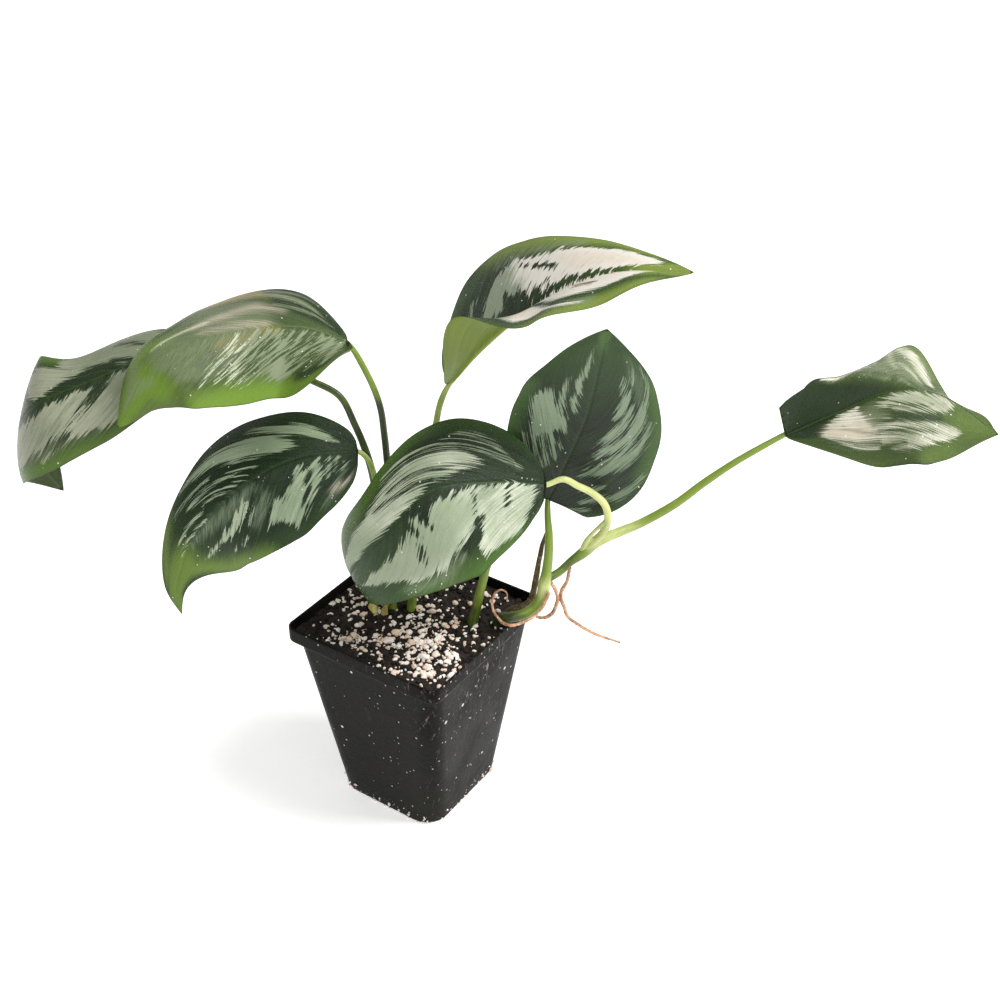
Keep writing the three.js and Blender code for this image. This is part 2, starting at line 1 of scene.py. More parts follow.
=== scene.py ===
import math

import bpy
import numpy as np
from mathutils import Matrix, Vector


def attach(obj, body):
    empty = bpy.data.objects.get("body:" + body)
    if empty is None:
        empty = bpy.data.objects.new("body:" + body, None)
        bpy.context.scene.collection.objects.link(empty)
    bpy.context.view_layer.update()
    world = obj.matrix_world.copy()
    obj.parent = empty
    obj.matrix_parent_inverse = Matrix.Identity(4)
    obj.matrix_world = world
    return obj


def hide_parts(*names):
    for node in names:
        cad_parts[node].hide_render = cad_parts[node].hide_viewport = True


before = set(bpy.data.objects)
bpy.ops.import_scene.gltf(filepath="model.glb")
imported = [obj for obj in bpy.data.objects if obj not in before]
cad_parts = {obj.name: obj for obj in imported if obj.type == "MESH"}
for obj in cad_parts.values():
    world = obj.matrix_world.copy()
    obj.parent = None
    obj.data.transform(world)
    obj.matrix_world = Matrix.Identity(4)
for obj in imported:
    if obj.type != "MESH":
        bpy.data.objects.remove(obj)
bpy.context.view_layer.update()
MM = 0.001

# Camera at the photograph's angle
CAMERA_PLACE = (0.3640, -0.4608, 0.5568)
CAMERA_AZIMUTH, CAMERA_HEIGHT = 0.597, 0.581
back = Vector((math.sin(CAMERA_AZIMUTH) * math.cos(CAMERA_HEIGHT),
               -math.cos(CAMERA_AZIMUTH) * math.cos(CAMERA_HEIGHT), math.sin(CAMERA_HEIGHT)))
right = Vector((math.cos(CAMERA_AZIMUTH), math.sin(CAMERA_AZIMUTH), 0))
camera = bpy.data.objects.new("camera", bpy.data.cameras.new("camera"))
camera.data.lens, camera.data.sensor_width = 54, 36
turned = Matrix((right, back.cross(right), back)).transposed()
camera.matrix_world = Matrix.Translation(CAMERA_PLACE) @ turned.to_4x4()
bpy.context.scene.collection.objects.link(camera)
bpy.context.scene.camera = camera
bpy.context.scene.view_settings.view_transform = "Standard"


# Numbers and curves
def along(values, place):
    """Eased value on numbers, or on rows of numbers, that are spread evenly from 0 to 1."""
    values = np.asarray(values, float)
    if len(values) == 1:
        return np.broadcast_to(values[0], np.shape(place) + values.shape[1:]).copy()
    scaled = np.clip(place, 0, 1) * (len(values) - 1)
    step = np.minimum(np.floor(scaled).astype(int), len(values) - 2)
    part = scaled - step
    eased = part if len(values) == 2 else part * part * (3 - 2 * part)
    if values.ndim > 1:
        eased = eased[..., None]
    return values[step] * (1 - eased) + values[step + 1] * eased


def flow(values, place):
    """Smooth cubic through numbers that are spread evenly from 0 to 1."""
    values = np.asarray(values, float)
    ends = np.concatenate([2 * values[:1] - values[1:2], values, 2 * values[-1:] - values[-2:-1]])
    scaled = np.clip(place, 0, 1) * (len(values) - 1)
    step = np.minimum(np.floor(scaled).astype(int), len(values) - 2)
    t = scaled - step
    a, b, c, d = (ends[step + k] for k in range(4))
    return b + 0.5 * t * (c - a + t * (2 * a - 5 * b + 4 * c - d + t * (3 * (b - c) + d - a)))


def smooth(value, low=0.0, high=1.0):
    part = np.clip((value - low) / (high - low), 0, 1)
    return part * part * (3 - 2 * part)


def unit(v):
    return v / np.maximum(np.linalg.norm(v, axis=-1, keepdims=True), 1e-9)


def steps_of(curve):
    return np.linalg.norm(np.diff(curve, axis=0), axis=1)


def spline(points, count=400):
    """Evenly spaced points on the centripetal Catmull-Rom curve through the points."""
    points = np.asarray(points, float)
    ends = np.vstack([2 * points[0] - points[1], points, 2 * points[-1] - points[-2]])
    t = np.linspace(0, 1, 60, endpoint=False)[:, None]
    fine = []
    for i in range(len(points) - 1):
        p0, p1, p2, p3 = span = ends[i:i + 4]
        d0, d1, d2 = np.maximum(steps_of(span) ** 0.5, 1e-4)
        t1 = ((p1 - p0) / d0 - (p2 - p0) / (d0 + d1) + (p2 - p1) / d1) * d1
        t2 = ((p2 - p1) / d1 - (p3 - p1) / (d1 + d2) + (p3 - p2) / d2) * d1
        fine.append(p1 + t1 * t + (3 * (p2 - p1) - 2 * t1 - t2) * t ** 2
                    + (2 * (p1 - p2) + t1 + t2) * t ** 3)
    fine = np.vstack(fine + [points[-1:]])
    length = np.concatenate([[0], np.cumsum(steps_of(fine))])
    even = np.linspace(0, length[-1], count)
    return np.stack([np.interp(even, length, fine[:, k]) for k in range(3)], -1)


def at(curve, place):
    scaled = np.clip(place, 0, 1) * (len(curve) - 1)
    return np.stack([np.interp(scaled, np.arange(len(curve)), curve[:, k]) for k in range(3)], -1)


def lattice(cell, seed):
    """A random number from -1 to 1 for each whole-numbered cell."""
    x, y, z = (cell[..., k].astype(np.int64) for k in range(3))
    value = (x * 374761393 + y * 668265263 + z * 1103515245 + seed * 1274126177) & 0xFFFFFFFF
    value = ((value ^ (value >> 13)) * 1274126177) & 0xFFFFFFFF
    return ((value ^ (value >> 16)) & 0xFFFF) / 32767.5 - 1


def noise(points, size, seed=0, octaves=1):
    """Smooth noise from -1 to 1."""
    total, weight = 0, 0
    for octave in range(octaves):
        scaled = np.asarray(points, float) / size * 2 ** octave + 13.7 * octave
        cell = np.floor(scaled)
        part = smooth(scaled - cell)
        value = 0
        for corner in np.ndindex(2, 2, 2):
            share = np.prod(np.where(np.array(corner), part, 1 - part), axis=-1)
            value = value + share * lattice(cell + np.array(corner), seed + 7 * octave)
        total, weight = total + value * 0.5 ** octave, weight + 0.5 ** octave
    return total / weight


# Objects
def plain(name, points, faces):
    """A bare mesh object from points in millimetres."""
    mesh = bpy.data.meshes.new(name)
    faces = [list(map(int, face)) for face in faces]
    mesh.from_pydata((np.asarray(points) * MM).tolist(), [], faces)
    piece = bpy.data.objects.new(name, mesh)
    bpy.context.scene.collection.objects.link(piece)
    return piece


def made(name, points, faces, materials, slot, nodes=(), numbers=None, uv=None, kinds=None):
    """A smooth, dressed object on the body root. numbers are attributes of its points."""
    piece = plain(name, points, faces)
    mesh = piece.data
    for material in materials:
        mesh.materials.append(material)
    mesh.polygons.foreach_set("use_smooth", [True] * len(mesh.polygons))
    if kinds is not None:
        mesh.polygons.foreach_set("material_index", kinds)
    for word, values in (numbers or {}).items():
        attribute = mesh.attributes.new(word, "FLOAT", "POINT")
        attribute.data.foreach_set("value", np.asarray(values, np.float32))
    if uv is not None:
        corners = np.empty(len(mesh.loops), np.int32)
        mesh.loops.foreach_get("vertex_index", corners)
        layer = mesh.uv_layers.new(name="OFBake")
        layer.data.foreach_set("uv", np.asarray(uv, np.float32)[corners].ravel())
    mesh.update()
    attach(piece, "root")
    if nodes:
        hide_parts(*nodes)
    return piece


def loft(rings, ends=None):
    """Points and faces of a closed skin over rings, with a point at each end."""
    count, top = len(rings[0]), (len(rings) - 1) * len(rings[0])
    ends = [rings[0].mean(0), rings[-1].mean(0)] if ends is None else ends
    first, last = top + count, top + count + 1
    around = [(corner, (corner + 1) % count) for corner in range(count)]
    faces = [(a + low, b + low, b + low + count, a + low + count)
             for low in range(0, top, count) for a, b in around]
    for a, b in around:
        faces += [(first, b, a), (last, top + a, top + b)]
    return np.vstack([*rings, *ends]), faces


def colour(rgb):
    """Linear colour with alpha from red, green and blue of 0 to 255."""
    parts = [c / 255 for c in rgb]
    return (*((c / 12.92 if c < 0.04045 else ((c + 0.055) / 1.055) ** 2.4) for c in parts), 1)


class Value:
    """An output of a look's node. Values add, subtract and multiply by math nodes."""

    def __init__(self, look, socket):
        self.look, self.socket = look, socket

    def __add__(self, other):
        return self.look.math("ADD", self, other)

    def __sub__(self, other):
        return self.look.math("SUBTRACT", self, other)

    def __mul__(self, other):
        return self.look.math("MULTIPLY", self, other)

    def out(self, word):
        """Another output of the same node."""
        return Value(self.look, self.socket.node.outputs[word])

    def ramp(self, low, high, start=0.0, end=1.0):
        """Eased from start to end while this value goes from low to high."""
        return self.look.add("ShaderNodeMapRange", {
            "Value": self, "From Min": low, "From Max": high, "To Min": start, "To Max": end,
        }, interpolation_type="SMOOTHSTEP")


class Look:
    """A procedural material, built node by node."""

    def __init__(self, name):
        self.material = bpy.data.materials.new(name)
        self.material.use_nodes = True
        self.tree = self.material.node_tree
        self.tree.nodes.clear()
        self.spot = self.add("ShaderNodeTexCoord").out("Object")

    def add(self, kind, sockets=None, **settings):
        """Adds a node and gives its first output."""
        node = self.tree.nodes.new(kind)
        for word, value in settings.items():
            setattr(node, word, value)
        for word, value in (sockets or {}).items():
            if isinstance(value, Value):
                self.tree.links.new(value.socket, node.inputs[word])
            else:
                node.inputs[word].default_value = value
        return Value(self, node.outputs[0]) if node.outputs else None

    def number(self, word):
        """An attribute of the mesh."""
        return self.add("ShaderNodeAttribute", attribute_name=word).out("Fac")

    def math(self, operation, a, b):
        return self.add("ShaderNodeMath", {0: a, 1: b}, operation=operation)

    def paint(self, base, *layers):
        """A base colour under layers, each of which is a share and a colour."""
        for share, over in layers:
            a, b = (c if isinstance(c, Value) else colour(c) for c in (base, over))
            base = self.add("ShaderNodeMix", {0: share, 6: a, 7: b}, data_type="RGBA").out(2)
        return base

    def vector(self, x, y, z):
        return self.add("ShaderNodeCombineXYZ", {0: x, 1: y, 2: z})

    def noise(self, scale, detail=3.0, rough=0.55, spot=None, bend=0.0):
        return self.add("ShaderNodeTexNoise", {
            "Vector": spot or self.spot, "Scale": scale, "Detail": detail, "Roughness": rough,
            "Distortion": bend,
        })

    def cells(self, scale):
        """Distance to the middle of the nearest cell."""
        return self.add("ShaderNodeTexVoronoi", {"Vector": self.spot, "Scale": scale})

    def specks(self, scale, radius, share):
        """1 in the middle of some cells, with a random size."""
        cell = self.cells(scale)
        chance = self.add("ShaderNodeSeparateColor", {0: cell.out("Color")})
        return (cell - chance.ramp(1 - share, 1.0) * radius).ramp(0.0, -0.25 * radius)

    def finish(self, shade, rough, height, depth, specular, **constants):
        """The material, with its height as a bump of a depth in metres."""
        bump = self.add("ShaderNodeBump", {"Height": height, "Distance": depth, "Strength": 1.0})
        shader = self.add("ShaderNodeBsdfPrincipled", {
            "Base Color": shade, "Roughness": rough, "Normal": bump,
            "Specular IOR Level": specular,
            **{word.replace("_", " "): value for word, value in constants.items()},
        })
        self.add("ShaderNodeOutputMaterial", {"Surface": shader})
        return self.material


# Leaf blades: the midrib is a curve, and each half is walked out from it in short steps
WALK_STEPS = 12
CREASE_WIDTH = 0.22
LOBE_START, LOBE_REACH = 0.03, 0.34
WAVES = 2.3


def outline(place, widest, point, blunt):
    near = np.clip((widest - place) / widest, 0, 1)
    far = np.clip((place - widest) / (1 - widest), 0, 1)
    rising = np.sqrt(np.clip(1 - near * near, 0, 1)) ** blunt
    falling = np.clip((1 - far ** 1.9) * (1 - 2 * point * far ** 3 * (1 - far)), 0, 1)
    return np.where(place < widest, rising, falling)


def half(width, trim, fold, curl, **more):
    """Half a blade: its width in millimetres, the share of it that is there at even steps, its
    fold at the midrib and its curl towards the margin in degrees."""
    return {"width": width, "trim": trim, "fold": fold, "curl": curl, "blunt": 0.9, "lobe": 0,
            "sweep": 0, "phase": 0, "wave": 1, **more}


# Midribs run from the stalk to the tip. face is the way that the upper side looks, as azimuth and
# height in degrees, and left and right are as seen from the stalk.
LEAVES = {
    "leaf_1": {
        "midrib": [[-100, -17, 228], [-120, -39, 229], [-139, -61, 220], [-158, -79, 210],
                   [-180, -76, 184], [-188, -62.7, 161], [-182, -54, 140]],
        "face": [[-60, 66], [-58, 62], [-62, 48], [-146, 0], [124, -33]],
        "left": half(32, [1, 1, 0.9, 0.94, 1.02, 1.05, 1.03, 1.04, 1.08], [0, -10, 0, 0, 0],
                     [-10, -30, -10], lobe=2),
        "right": half(32, [1, 1, 0.9, 0.66, 0.95, 1.05, 1, 1, 1], [-10, -10, -10, 0, 0],
                      [-10, -28, -28, 0, -10], lobe=2, wave=2, phase=0.32),
        "widest": 0.45, "point": 0.2, "soft": 0.08,
    },
    "leaf_2": {
        "midrib": [[-39, 8, 241], [-54, -5, 249], [-75, -27, 250], [-97, -54, 243],
                   [-109, -74, 211]],
        "face": [[-60, 68], [-56, 66], [-80, 45]],
        "left": half(38, [1.3, 1.25, 0.97, 0.92, 0.93, 0.98, 0.95, 0.8, 1], [5, -8, -8, 0, 0],
                     [75, -20, -25, -20, -20], lobe=5, sweep=6),
        "right": half(36, [0.5, 0.92, 1.18, 1.26, 1.09, 0.76, 0.85, 1, 1], [-5, -15, -12],
                      [-20, -30, -20]),
        "widest": 0.38, "point": 0.2, "soft": 0.14,
    },
    "leaf_3": {
        "midrib": [[-29.4, -0.5, 189.3], [-49.4, -18.5, 188.3], [-70.3, -37.5, 174.3],
                   [-88.3, -55.5, 148.3], [-94.5, -65, 122], [-93.3, -65.5, 106.3]],
        "face": [[-60, 45], [-62, 42], [-60, 25]],
        "left": half(37, [0.9, 0.98, 0.99, 0.95, 0.94, 0.99, 1.1, 0.55, 0.3], [0], [-20], lobe=1),
        "right": half(30, [0.85, 0.92, 1, 1.11, 1.13, 1.02, 0.96, 0.9, 1], [0, -10, 0],
                      [-20, -30, -20], lobe=1),
        "widest": 0.40, "point": 0.9, "soft": 0.14,
    },
    "leaf_4": {
        "midrib": [[57, 29, 186], [39, 10, 191], [20, -11, 190], [5, -26, 169], [-14, -29, 141],
                   [-21, -9, 120]],
        "face": [[-56, 40], [-56, 40], [-120, -10]],
        "left": half(38, [1.04, 1.14, 1.2, 1.17, 1.04, 0.97, 0.9, 0.8, 1], [0], [-10, -20, -10],
                     lobe=-2),
        "right": half(34.5, [1, 1, 1.05, 0.92, 0.86, 0.82, 1, 1.25, 1.1], [0, -8, 0],
                      [-20, -35, -20], widest=0.4, lobe=-2, sweep=-5),
        "widest": 0.46, "point": 0, "soft": 0.2,
    },
    "leaf_5": {
        "midrib": [[2, 28, 222], [15, 37, 241], [41, 49, 267], [71, 60, 284], [103, 70, 288]],
        "face": [[196, 25], [-120, 77], [-56, 78]],
        "left": half(39, [1, 1, 1.28, 1.32, 1.17, 1.08, 1.03, 0.95, 1], [35, 20, 8], [0, -15, -10],
                     blunt=0.75, sweep=-12),
        "right": half(34, [1, 0.96, 1, 1.05, 0.95, 0.95, 0.95, 0.8, 0.8], [10, 50, 14, -3, 0],
                      [0, -5, 0], blunt=1.3),
        "widest": 0.42, "point": 0.8, "soft": 0.14,
    },
    "leaf_6": {
        "midrib": [[49, 43, 167], [57, 46, 190], [65, 49, 215], [71, 48, 242], [76, 45, 264]],
        "face": [[-56, 8], [-56, 4], [-56, 0]],
        "left": half(33, [1, 1, 1, 1, 1.02, 1.09, 1.1, 1.25, 1.4], [4], [-22], lobe=5),
        "right": half(36.5, [1.4, 1.25, 1.15, 1.05, 1, 0.99, 1.05, 1.06, 1], [5], [-12], lobe=7),
        "widest": 0.42, "point": 0.4, "soft": 0.14,
    },
    "leaf_7": {
        "midrib": [[138, 106, 201], [159, 120, 215], [177, 130, 226], [197, 138, 226.5],
                   [223, 147, 210]],
        "face": [[-56, 58], [-56, 55], [-40, 50]],
        "left": half(32, [1.1, 0.76, 0.7, 1, 1.55, 0.85, 0.55, 0.3, 0.2], [66, 54, 55, 42, 30], [0],
                     widest=0.55, blunt=0.35, lobe=-16, sweep=9, wave=7,
                     crease={"at": [1.1, 0.75, 0.1, -0.2, -0.2],
                             "turn": [-108, -106, -104, -100, -30]}),
        "right": half(35, [0.4, 0.72, 0.94, 0.96, 1, 1.08, 1.2, 1.3, 1.1], [0, -5, -10],
                      [-10, -20, -20], blunt=1.2, sweep=6),
        "widest": 0.46, "point": 0.2, "soft": 0.27,
    },
}

def half_width(leaf, side, place):
    h = leaf[side]
    shape = outline(place, h.get("widest", leaf["widest"]), leaf["point"], h["blunt"])
    return h["width"] * shape * np.maximum(flow(h["trim"], place), 0.05)


def blade(leaf, place, across):
    """Points of the upper face for arrays of places along and across the blade."""
    curve = spline(leaf["midrib"])
    side = np.where(across < 0, -1.0, 1.0)
    out = np.abs(across)
    soft = leaf["soft"]
    tangent = unit(at(curve, np.minimum(place + soft, 1)) - at(curve, np.maximum(place - soft, 0)))
    turn, rise = np.radians(leaf["face"]).T
    faces = np.stack([np.cos(rise) * np.cos(turn), np.cos(rise) * np.sin(turn), np.sin(rise)], -1)
    sideways = unit(np.cross(tangent, along(faces, place)))
    normal = np.cross(sideways, tangent)
    halves = []
    for name in ("left", "right"):
        h = leaf[name]
        width = half_width(leaf, name, place)
        fold, curl = along(h["fold"], place), along(h["curl"], place)
        run, rise = 0, 0
        for step in range(WALK_STEPS):
            reached = (step + 0.5) / WALK_STEPS * out
            turn = fold + curl * reached
            if "crease" in h:
                past = (reached - along(h["crease"]["at"], place)) / CREASE_WIDTH + 0.5
                turn = turn + along(h["crease"]["turn"], place) * smooth(past)
            run = run + np.cos(np.radians(turn)) * out / WALK_STEPS
            rise = rise + np.sin(np.radians(turn)) * out / WALK_STEPS
        lobe = np.clip(1 - place / LOBE_REACH, 0, 1) ** 1.5 * np.minimum(1, place / LOBE_START)
        ahead = h["sweep"] * out * out * np.sin(np.pi * place) - h["lobe"] * out * lobe
        wave = h["wave"] * out * out * np.sin(np.pi * np.minimum(1, place * 1.05))
        wave = wave * np.sin(2 * np.pi * (WAVES * place + h["phase"]))
        halves.append(at(curve, place) + sideways * (side * width * run)[..., None]
                      + normal * (width * rise + wave)[..., None] + tangent * ahead[..., None])
    return np.where((across < 0)[..., None], halves[0], halves[1])


# Markings in leaf coordinates: a patch is a list of corners (place, across), and a streak is a
# list of (place, across, half width in millimetres). Silver ones lie on the green, and dark ones
# cut into them. Warm ones turn the green to lime, blush ones to pink and rust ones to brown. Dim
# ones turn it to dark green, partly the leaf's own and partly painted shade, as on the inner face
# of leaf 7's fold by its base. A veil is thin silver, and grey ones dull the silver, partly as
# painted shade, as in the wide streak across leaf 4's left half. Glint ones are sprinkled with
# painted white glints. bend is how far the side veins run ahead towards the left and the right
# margin.
def arc(start, length=1.0, wide=1.5):
    """A streak along a side vein of the left half."""
    return [(start, -.07, .7), (start + .035 * length, -.25, wide),
            (start + .1 * length, -.48, wide), (start + .17 * length, -.68, .7)]


MARKS = {
    "leaf_1": {
        "silver": [[(.12, .6), (.14, .95), (.25, 1.1), (.38, 1.1), (.42, .8), (.42, .55), (.37, .4),
             (.32, .3), (.27, .2), (.24, .05), (.2, .1), (.17, .25)],
            [(.34, .35), (.36, .6), (.42, .66), (.5, .7), (.55, .6), (.54, .2), (.5, .06),
             (.46, .12), (.42, .2), (.4, .3), (.38, .3)],
            [(.2, -.1), (.27, -.06), (.3, -.18), (.34, -.32), (.38, -.42), (.42, -.52), (.46, -.66),
             (.42, -.74), (.37, -.76), (.3, -.82), (.22, -.8)],
            [(.34, -.12), (.39, -.08), (.44, -.13), (.48, -.1), (.53, -.16), (.58, -.15),
             (.64, -.1), (.72, -.1), (.76, -.3), (.74, -.5), (.66, -.7), (.58, -.68), (.5, -.6),
             (.45, -.54), (.4, -.44), (.36, -.28)],
            [(.44, -.64, .3), (.5, -.74, .6), (.56, -.82, .3)]],
        "dark": [[(.15, .33, .5), (.2, .5, .5)], [(.21, .6, .5), (.25, .72, .5)],
            [(.21, .05, .7), (.27, .28, .5)], [(.3, .28, .4), (.35, .42, .4)]],
        "warm": [[(.3, -1, 1), (.5, -.95, 3), (.66, -.88, 4), (.8, -.75, 6), (.9, -.5, 6)],
            [(.42, .92, 2), (.5, .95, 3)]],
        "veil": [[(.3, -.78, 1), (.42, -.72, 2), (.6, -.68, 2)]],
        "glint": [[(.5, -.12, .8), (.53, -.14, .8)]],
        "bend": (.34, .6),
    },
    "leaf_2": {
        "silver": [arc(.02, .5, 1.1), arc(.055, .6, 1.2), arc(.09, .7, 1), arc(.125, .8, 1.2),
            arc(.16, .9, 1), arc(.2, 1, 1.3), arc(.24, 1, 1.1), arc(.285, 1, 1), arc(.33, 1, 1.5),
            arc(.4, 1, .5),
            [(.2, -.5), (.24, -.48), (.29, -.62), (.3, -.76), (.24, -.78), (.2, -.7)],
            [(.32, -.5, .8), (.38, -.66, 1.6), (.43, -.74, 1)],
            [(.1, .5, .5), (.17, .62, 2), (.24, .7, 2.4), (.31, .78, .6)],
            [(.06, .36, .3), (.16, .4, .9), (.26, .45, .4)],
            [(.12, .8, .3), (.2, .86, .7), (.27, .9, .3)],
            [(.5, .3, .3), (.62, .34, .5), (.7, .3, .3)]],
        "veil": [[(.78, -.3, 3), (.88, .1, 8), (.8, .5, 4)],
            [(.25, .05), (.3, .5), (.36, .62), (.5, .75), (.64, .6), (.72, .3), (.74, -.2),
             (.66, -.6), (.55, -.66), (.45, -.6), (.36, -.3), (.3, -.05)],
            [(.01, -.1), (.05, -.4), (.12, -.55), (.1, -.1)]],
        "dim": [[(.02, .2), (.02, 1.1), (.2, 1.1), (.28, 1), (.28, .8), (.26, .6), (.26, .42),
             (.2, .3), (.12, .2)],
            [(.1, -.74, 2.5), (.17, -.72, 2.5)], [(.42, -.14, .3), (.5, -.3, 1), (.56, -.42, .3)],
            [(.36, -.2, .2), (.43, -.36, .8), (.48, -.5, .3)]],
        "warm": [[(.14, -.95, 3), (.28, -.92, 4.6), (.45, -.92, 5), (.6, -.96, 2)],
            [(.76, -.6, 6), (.84, 0, 9), (.93, 0, 22), (1, 0, 38)], [(.66, .3, 2), (.78, .7, 6)]],
        "blush": [[(.24, .3, .6), (.32, .4, 2), (.44, .36, 1.6), (.54, .3, .6)],
            [(.3, .04, .4), (.42, .1, .8), (.52, .12, .4)]],
        "rust": [[(.27, .76, 4), (.38, .86, 5), (.48, .9, 3)], [(.36, -.12, 2.6), (.46, -.2, 3.4)],
            [(.26, -.05, 1.2), (.32, -.08, 1.6)]],
        "glint": [[(.63, -.86, 1.5), (.72, -.92, 2.5)], [(.12, -.8, 2), (.16, -.84, 1.5)],
            [(.36, -.18, 1), (.5, -.3, 1.6)], [(.36, -.62, 1.5), (.42, -.7, 1)]],
        "bend": (.36, 1.2),
    },
    "leaf_3": {
        "silver": [[(.07, .3), (.1, .48), (.14, .62), (.18, .69), (.22, .7), (.3, .8), (.34, .8),
             (.28, .64), (.23, .52), (.19, .46), (.13, .36), (.09, .28)],
            [(.19, .22), (.235, .42), (.285, .58), (.33, .65), (.385, .7), (.43, .75), (.48, .79),
             (.56, .88), (.62, .94), (.56, .78), (.5, .66), (.45, .52), (.41, .4), (.365, .34),
             (.31, .28), (.26, .22)],
            [(.36, .15, .4), (.45, .27, 1.2), (.53, .36, 1.2), (.62, .47, .5)],
            [(.4, .07, .3), (.5, .18, .8), (.58, .24, .5)],
            [(.52, .5, .5), (.6, .62, .8), (.68, .72, .4)],
            [(.6, .18, .4), (.68, .28, 1), (.73, .3, .4)],
            [(.6, .02, .3), (.7, .1, .6), (.76, .1, .3)],
            [(.22, -.14), (.205, -.12), (.21, -.25), (.19, -.25), (.175, -.15), (.16, -.1),
             (.14, -.05), (.13, -.2), (.14, -.45), (.175, -.6), (.21, -.72), (.24, -.78),
             (.27, -.8), (.31, -.85), (.33, -.75), (.37, -.7), (.41, -.68), (.43, -.72),
             (.38, -.52), (.345, -.4), (.3, -.42), (.27, -.35), (.25, -.3), (.235, -.22)],
            [(.07, -.12, .5), (.09, -.38, .7)], [(.1, -.1, .4), (.115, -.45, .7)],
            [(.05, -.25, .4), (.06, -.45, .5)],
            [(.45, -.2, .8), (.5, -.3, 2.2), (.54, -.38, 2.2), (.6, -.42, 1), (.73, -.42, .3)],
            [(.42, -.25, .3), (.46, -.42, .6), (.48, -.48, .3)],
            [(.53, -.6, .3), (.57, -.66, .8), (.61, -.68, .3)]],
        "dark": [[(.175, -.2, .2), (.2, -.5, .4), (.23, -.68, .4)]],
        "warm": [[(.5, -1, 1), (.6, -.97, 2.4), (.72, -.88, 4.4), (.82, -.3, 6), (.91, 0, 20),
             (1, 0, 38)],
            [(.74, .9, 2), (.84, .7, 5)]],
        "blush": [[(.09, -.7, 1.4), (.05, -.76, 1)]],
        "veil": [[(.06, -.5, 1), (.1, -.75, 2.5), (.14, -.85, 1)],
            [(.4, -.1, 2), (.52, -.14, 4), (.62, -.08, 3), (.7, -.05, 2)],
            [(.36, -.28, 2), (.41, -.4, 3), (.46, -.52, 2)]],
        "glint": [[(.31, -.04, 1), (.35, -.06, .8)], [(.08, -.7, 1.6), (.11, -.82, 1)],
            [(.68, -.3, 1), (.74, -.2, 1)]],
        "bend": (.36, .62),
    },
    "leaf_4": {
        "silver": [[(.08, .3), (.12, .5), (.16, .66), (.2, .73), (.25, .74), (.3, .68), (.35, .62),
             (.3, .57), (.25, .55), (.2, .48), (.16, .42), (.12, .34)],
            [(.2, .3), (.23, .44), (.28, .5), (.35, .54), (.42, .6), (.5, .6), (.56, .58),
             (.62, .55), (.7, .5), (.8, .3), (.8, .12), (.7, .07), (.6, .08), (.5, .04), (.42, .02),
             (.39, .03), (.36, .13), (.3, .12), (.26, .2)],
            [(.03, -.05), (.1, -.02), (.2, -.04), (.24, -.05), (.24, -.3), (.22, -.45), (.23, -.6),
             (.25, -.75), (.22, -.84), (.15, -.84), (.08, -.86), (.04, -.6)],
            [(.24, -.06), (.28, -.04), (.32, -.1), (.36, -.12), (.39, -.1), (.41, -.2), (.42, -.34),
             (.435, -.2), (.44, -.1), (.47, -.12), (.475, -.3), (.49, -.2), (.5, -.18), (.53, -.25),
             (.57, -.28), (.65, -.3), (.72, -.33), (.78, -.42), (.74, -.52), (.68, -.6), (.64, -.7),
             (.59, -.76), (.55, -.78), (.48, -.78), (.42, -.72), (.36, -.64), (.3, -.58),
             (.26, -.48), (.24, -.3)],
            [(.36, .66, .4), (.44, .72, .6), (.5, .76, .3)]],
        "dark": [[(.2, .26, .5), (.32, .28, .4), (.4, .37, .35), (.49, .46, .3)],
            [(.35, .14, .5), (.4, .22, .35), (.46, .28, .3), (.56, .45, .25)],
            [(.22, -.4, .4), (.26, -.55, 1.1), (.3, -.68, 2.2), (.38, -.8, 3.4)],
            [(.5, -.42, .3), (.53, -.55, .4)], [(.125, -.05, .3), (.13, -.35, .2)],
            [(.11, .42, .3), (.18, .56, .7), (.27, .64, .8), (.33, .62, .4)],
            [(.14, .6, .3), (.2, .68, .5), (.27, .7, .3)],
            [(.1, .34, .2), (.18, .48, .5), (.25, .56, .3)]],
        "warm": [[(.1, -.97, 1.5), (.3, -.97, 1.5), (.5, -.97, 2.5), (.62, -.9, 3)],
            [(.36, .97, 1), (.46, .94, 4), (.6, .9, 6), (.74, .8, 6), (.86, .6, 5)]],
        "veil": [[(.35, -.75, 1.5), (.5, -.85, 2.5), (.65, -.85, 2)]],
        # The wide streak across the middle of the left half is painted shade.
        "grey": [[(.04, .2), (.1, .5), (.2, .76), (.38, .7), (.34, .56), (.2, .46), (.12, .3)],
            [(.62, .1, 4), (.72, .3, 6), (.8, .2, 6)],
            [(.27, -.3, 4), (.4, -.4, 9), (.56, -.45, 9), (.7, -.45, 7)]],
        "glint": [[(.52, -.9, 2), (.66, -.86, 2)], [(.06, -.1, 1), (.2, -.12, 1)],
            [(.04, .1, 1), (.1, .12, 1)]],
        "bend": (.46, 1.1),
    },
    "leaf_5": {
        "silver": [[(.2, -.12), (.22, -.3), (.27, -.47), (.33, -.61), (.37, -.66), (.43, -.68),
             (.46, -.64), (.52, -.6), (.56, -.62), (.62, -.66), (.71, -.62), (.8, -.66), (.9, -.66),
             (.88, -.3), (.8, -.14), (.74, -.1), (.68, -.12), (.62, -.13), (.58, -.17), (.55, -.12),
             (.52, -.13), (.5, -.2), (.475, -.1), (.45, -.26), (.42, -.12), (.4, -.3), (.365, -.22),
             (.34, -.4), (.31, -.2), (.27, -.2)],
            [(.15, -.3, .8), (.19, -.5, 1.5), (.22, -.62, .8)],
            [(.33, .25), (.36, .1), (.42, .05), (.47, .3), (.5, .45), (.54, .62), (.48, .66),
             (.42, .75), (.36, .6)],
            [(.45, .02), (.5, -.02), (.56, -.02), (.62, -.02), (.7, 0), (.8, .05), (.87, .1),
             (.8, .32), (.74, .42), (.68, .45), (.6, .42), (.54, .36), (.5, .25)],
            [(.5, .62, .4), (.58, .68, .8), (.64, .72, .4)]],
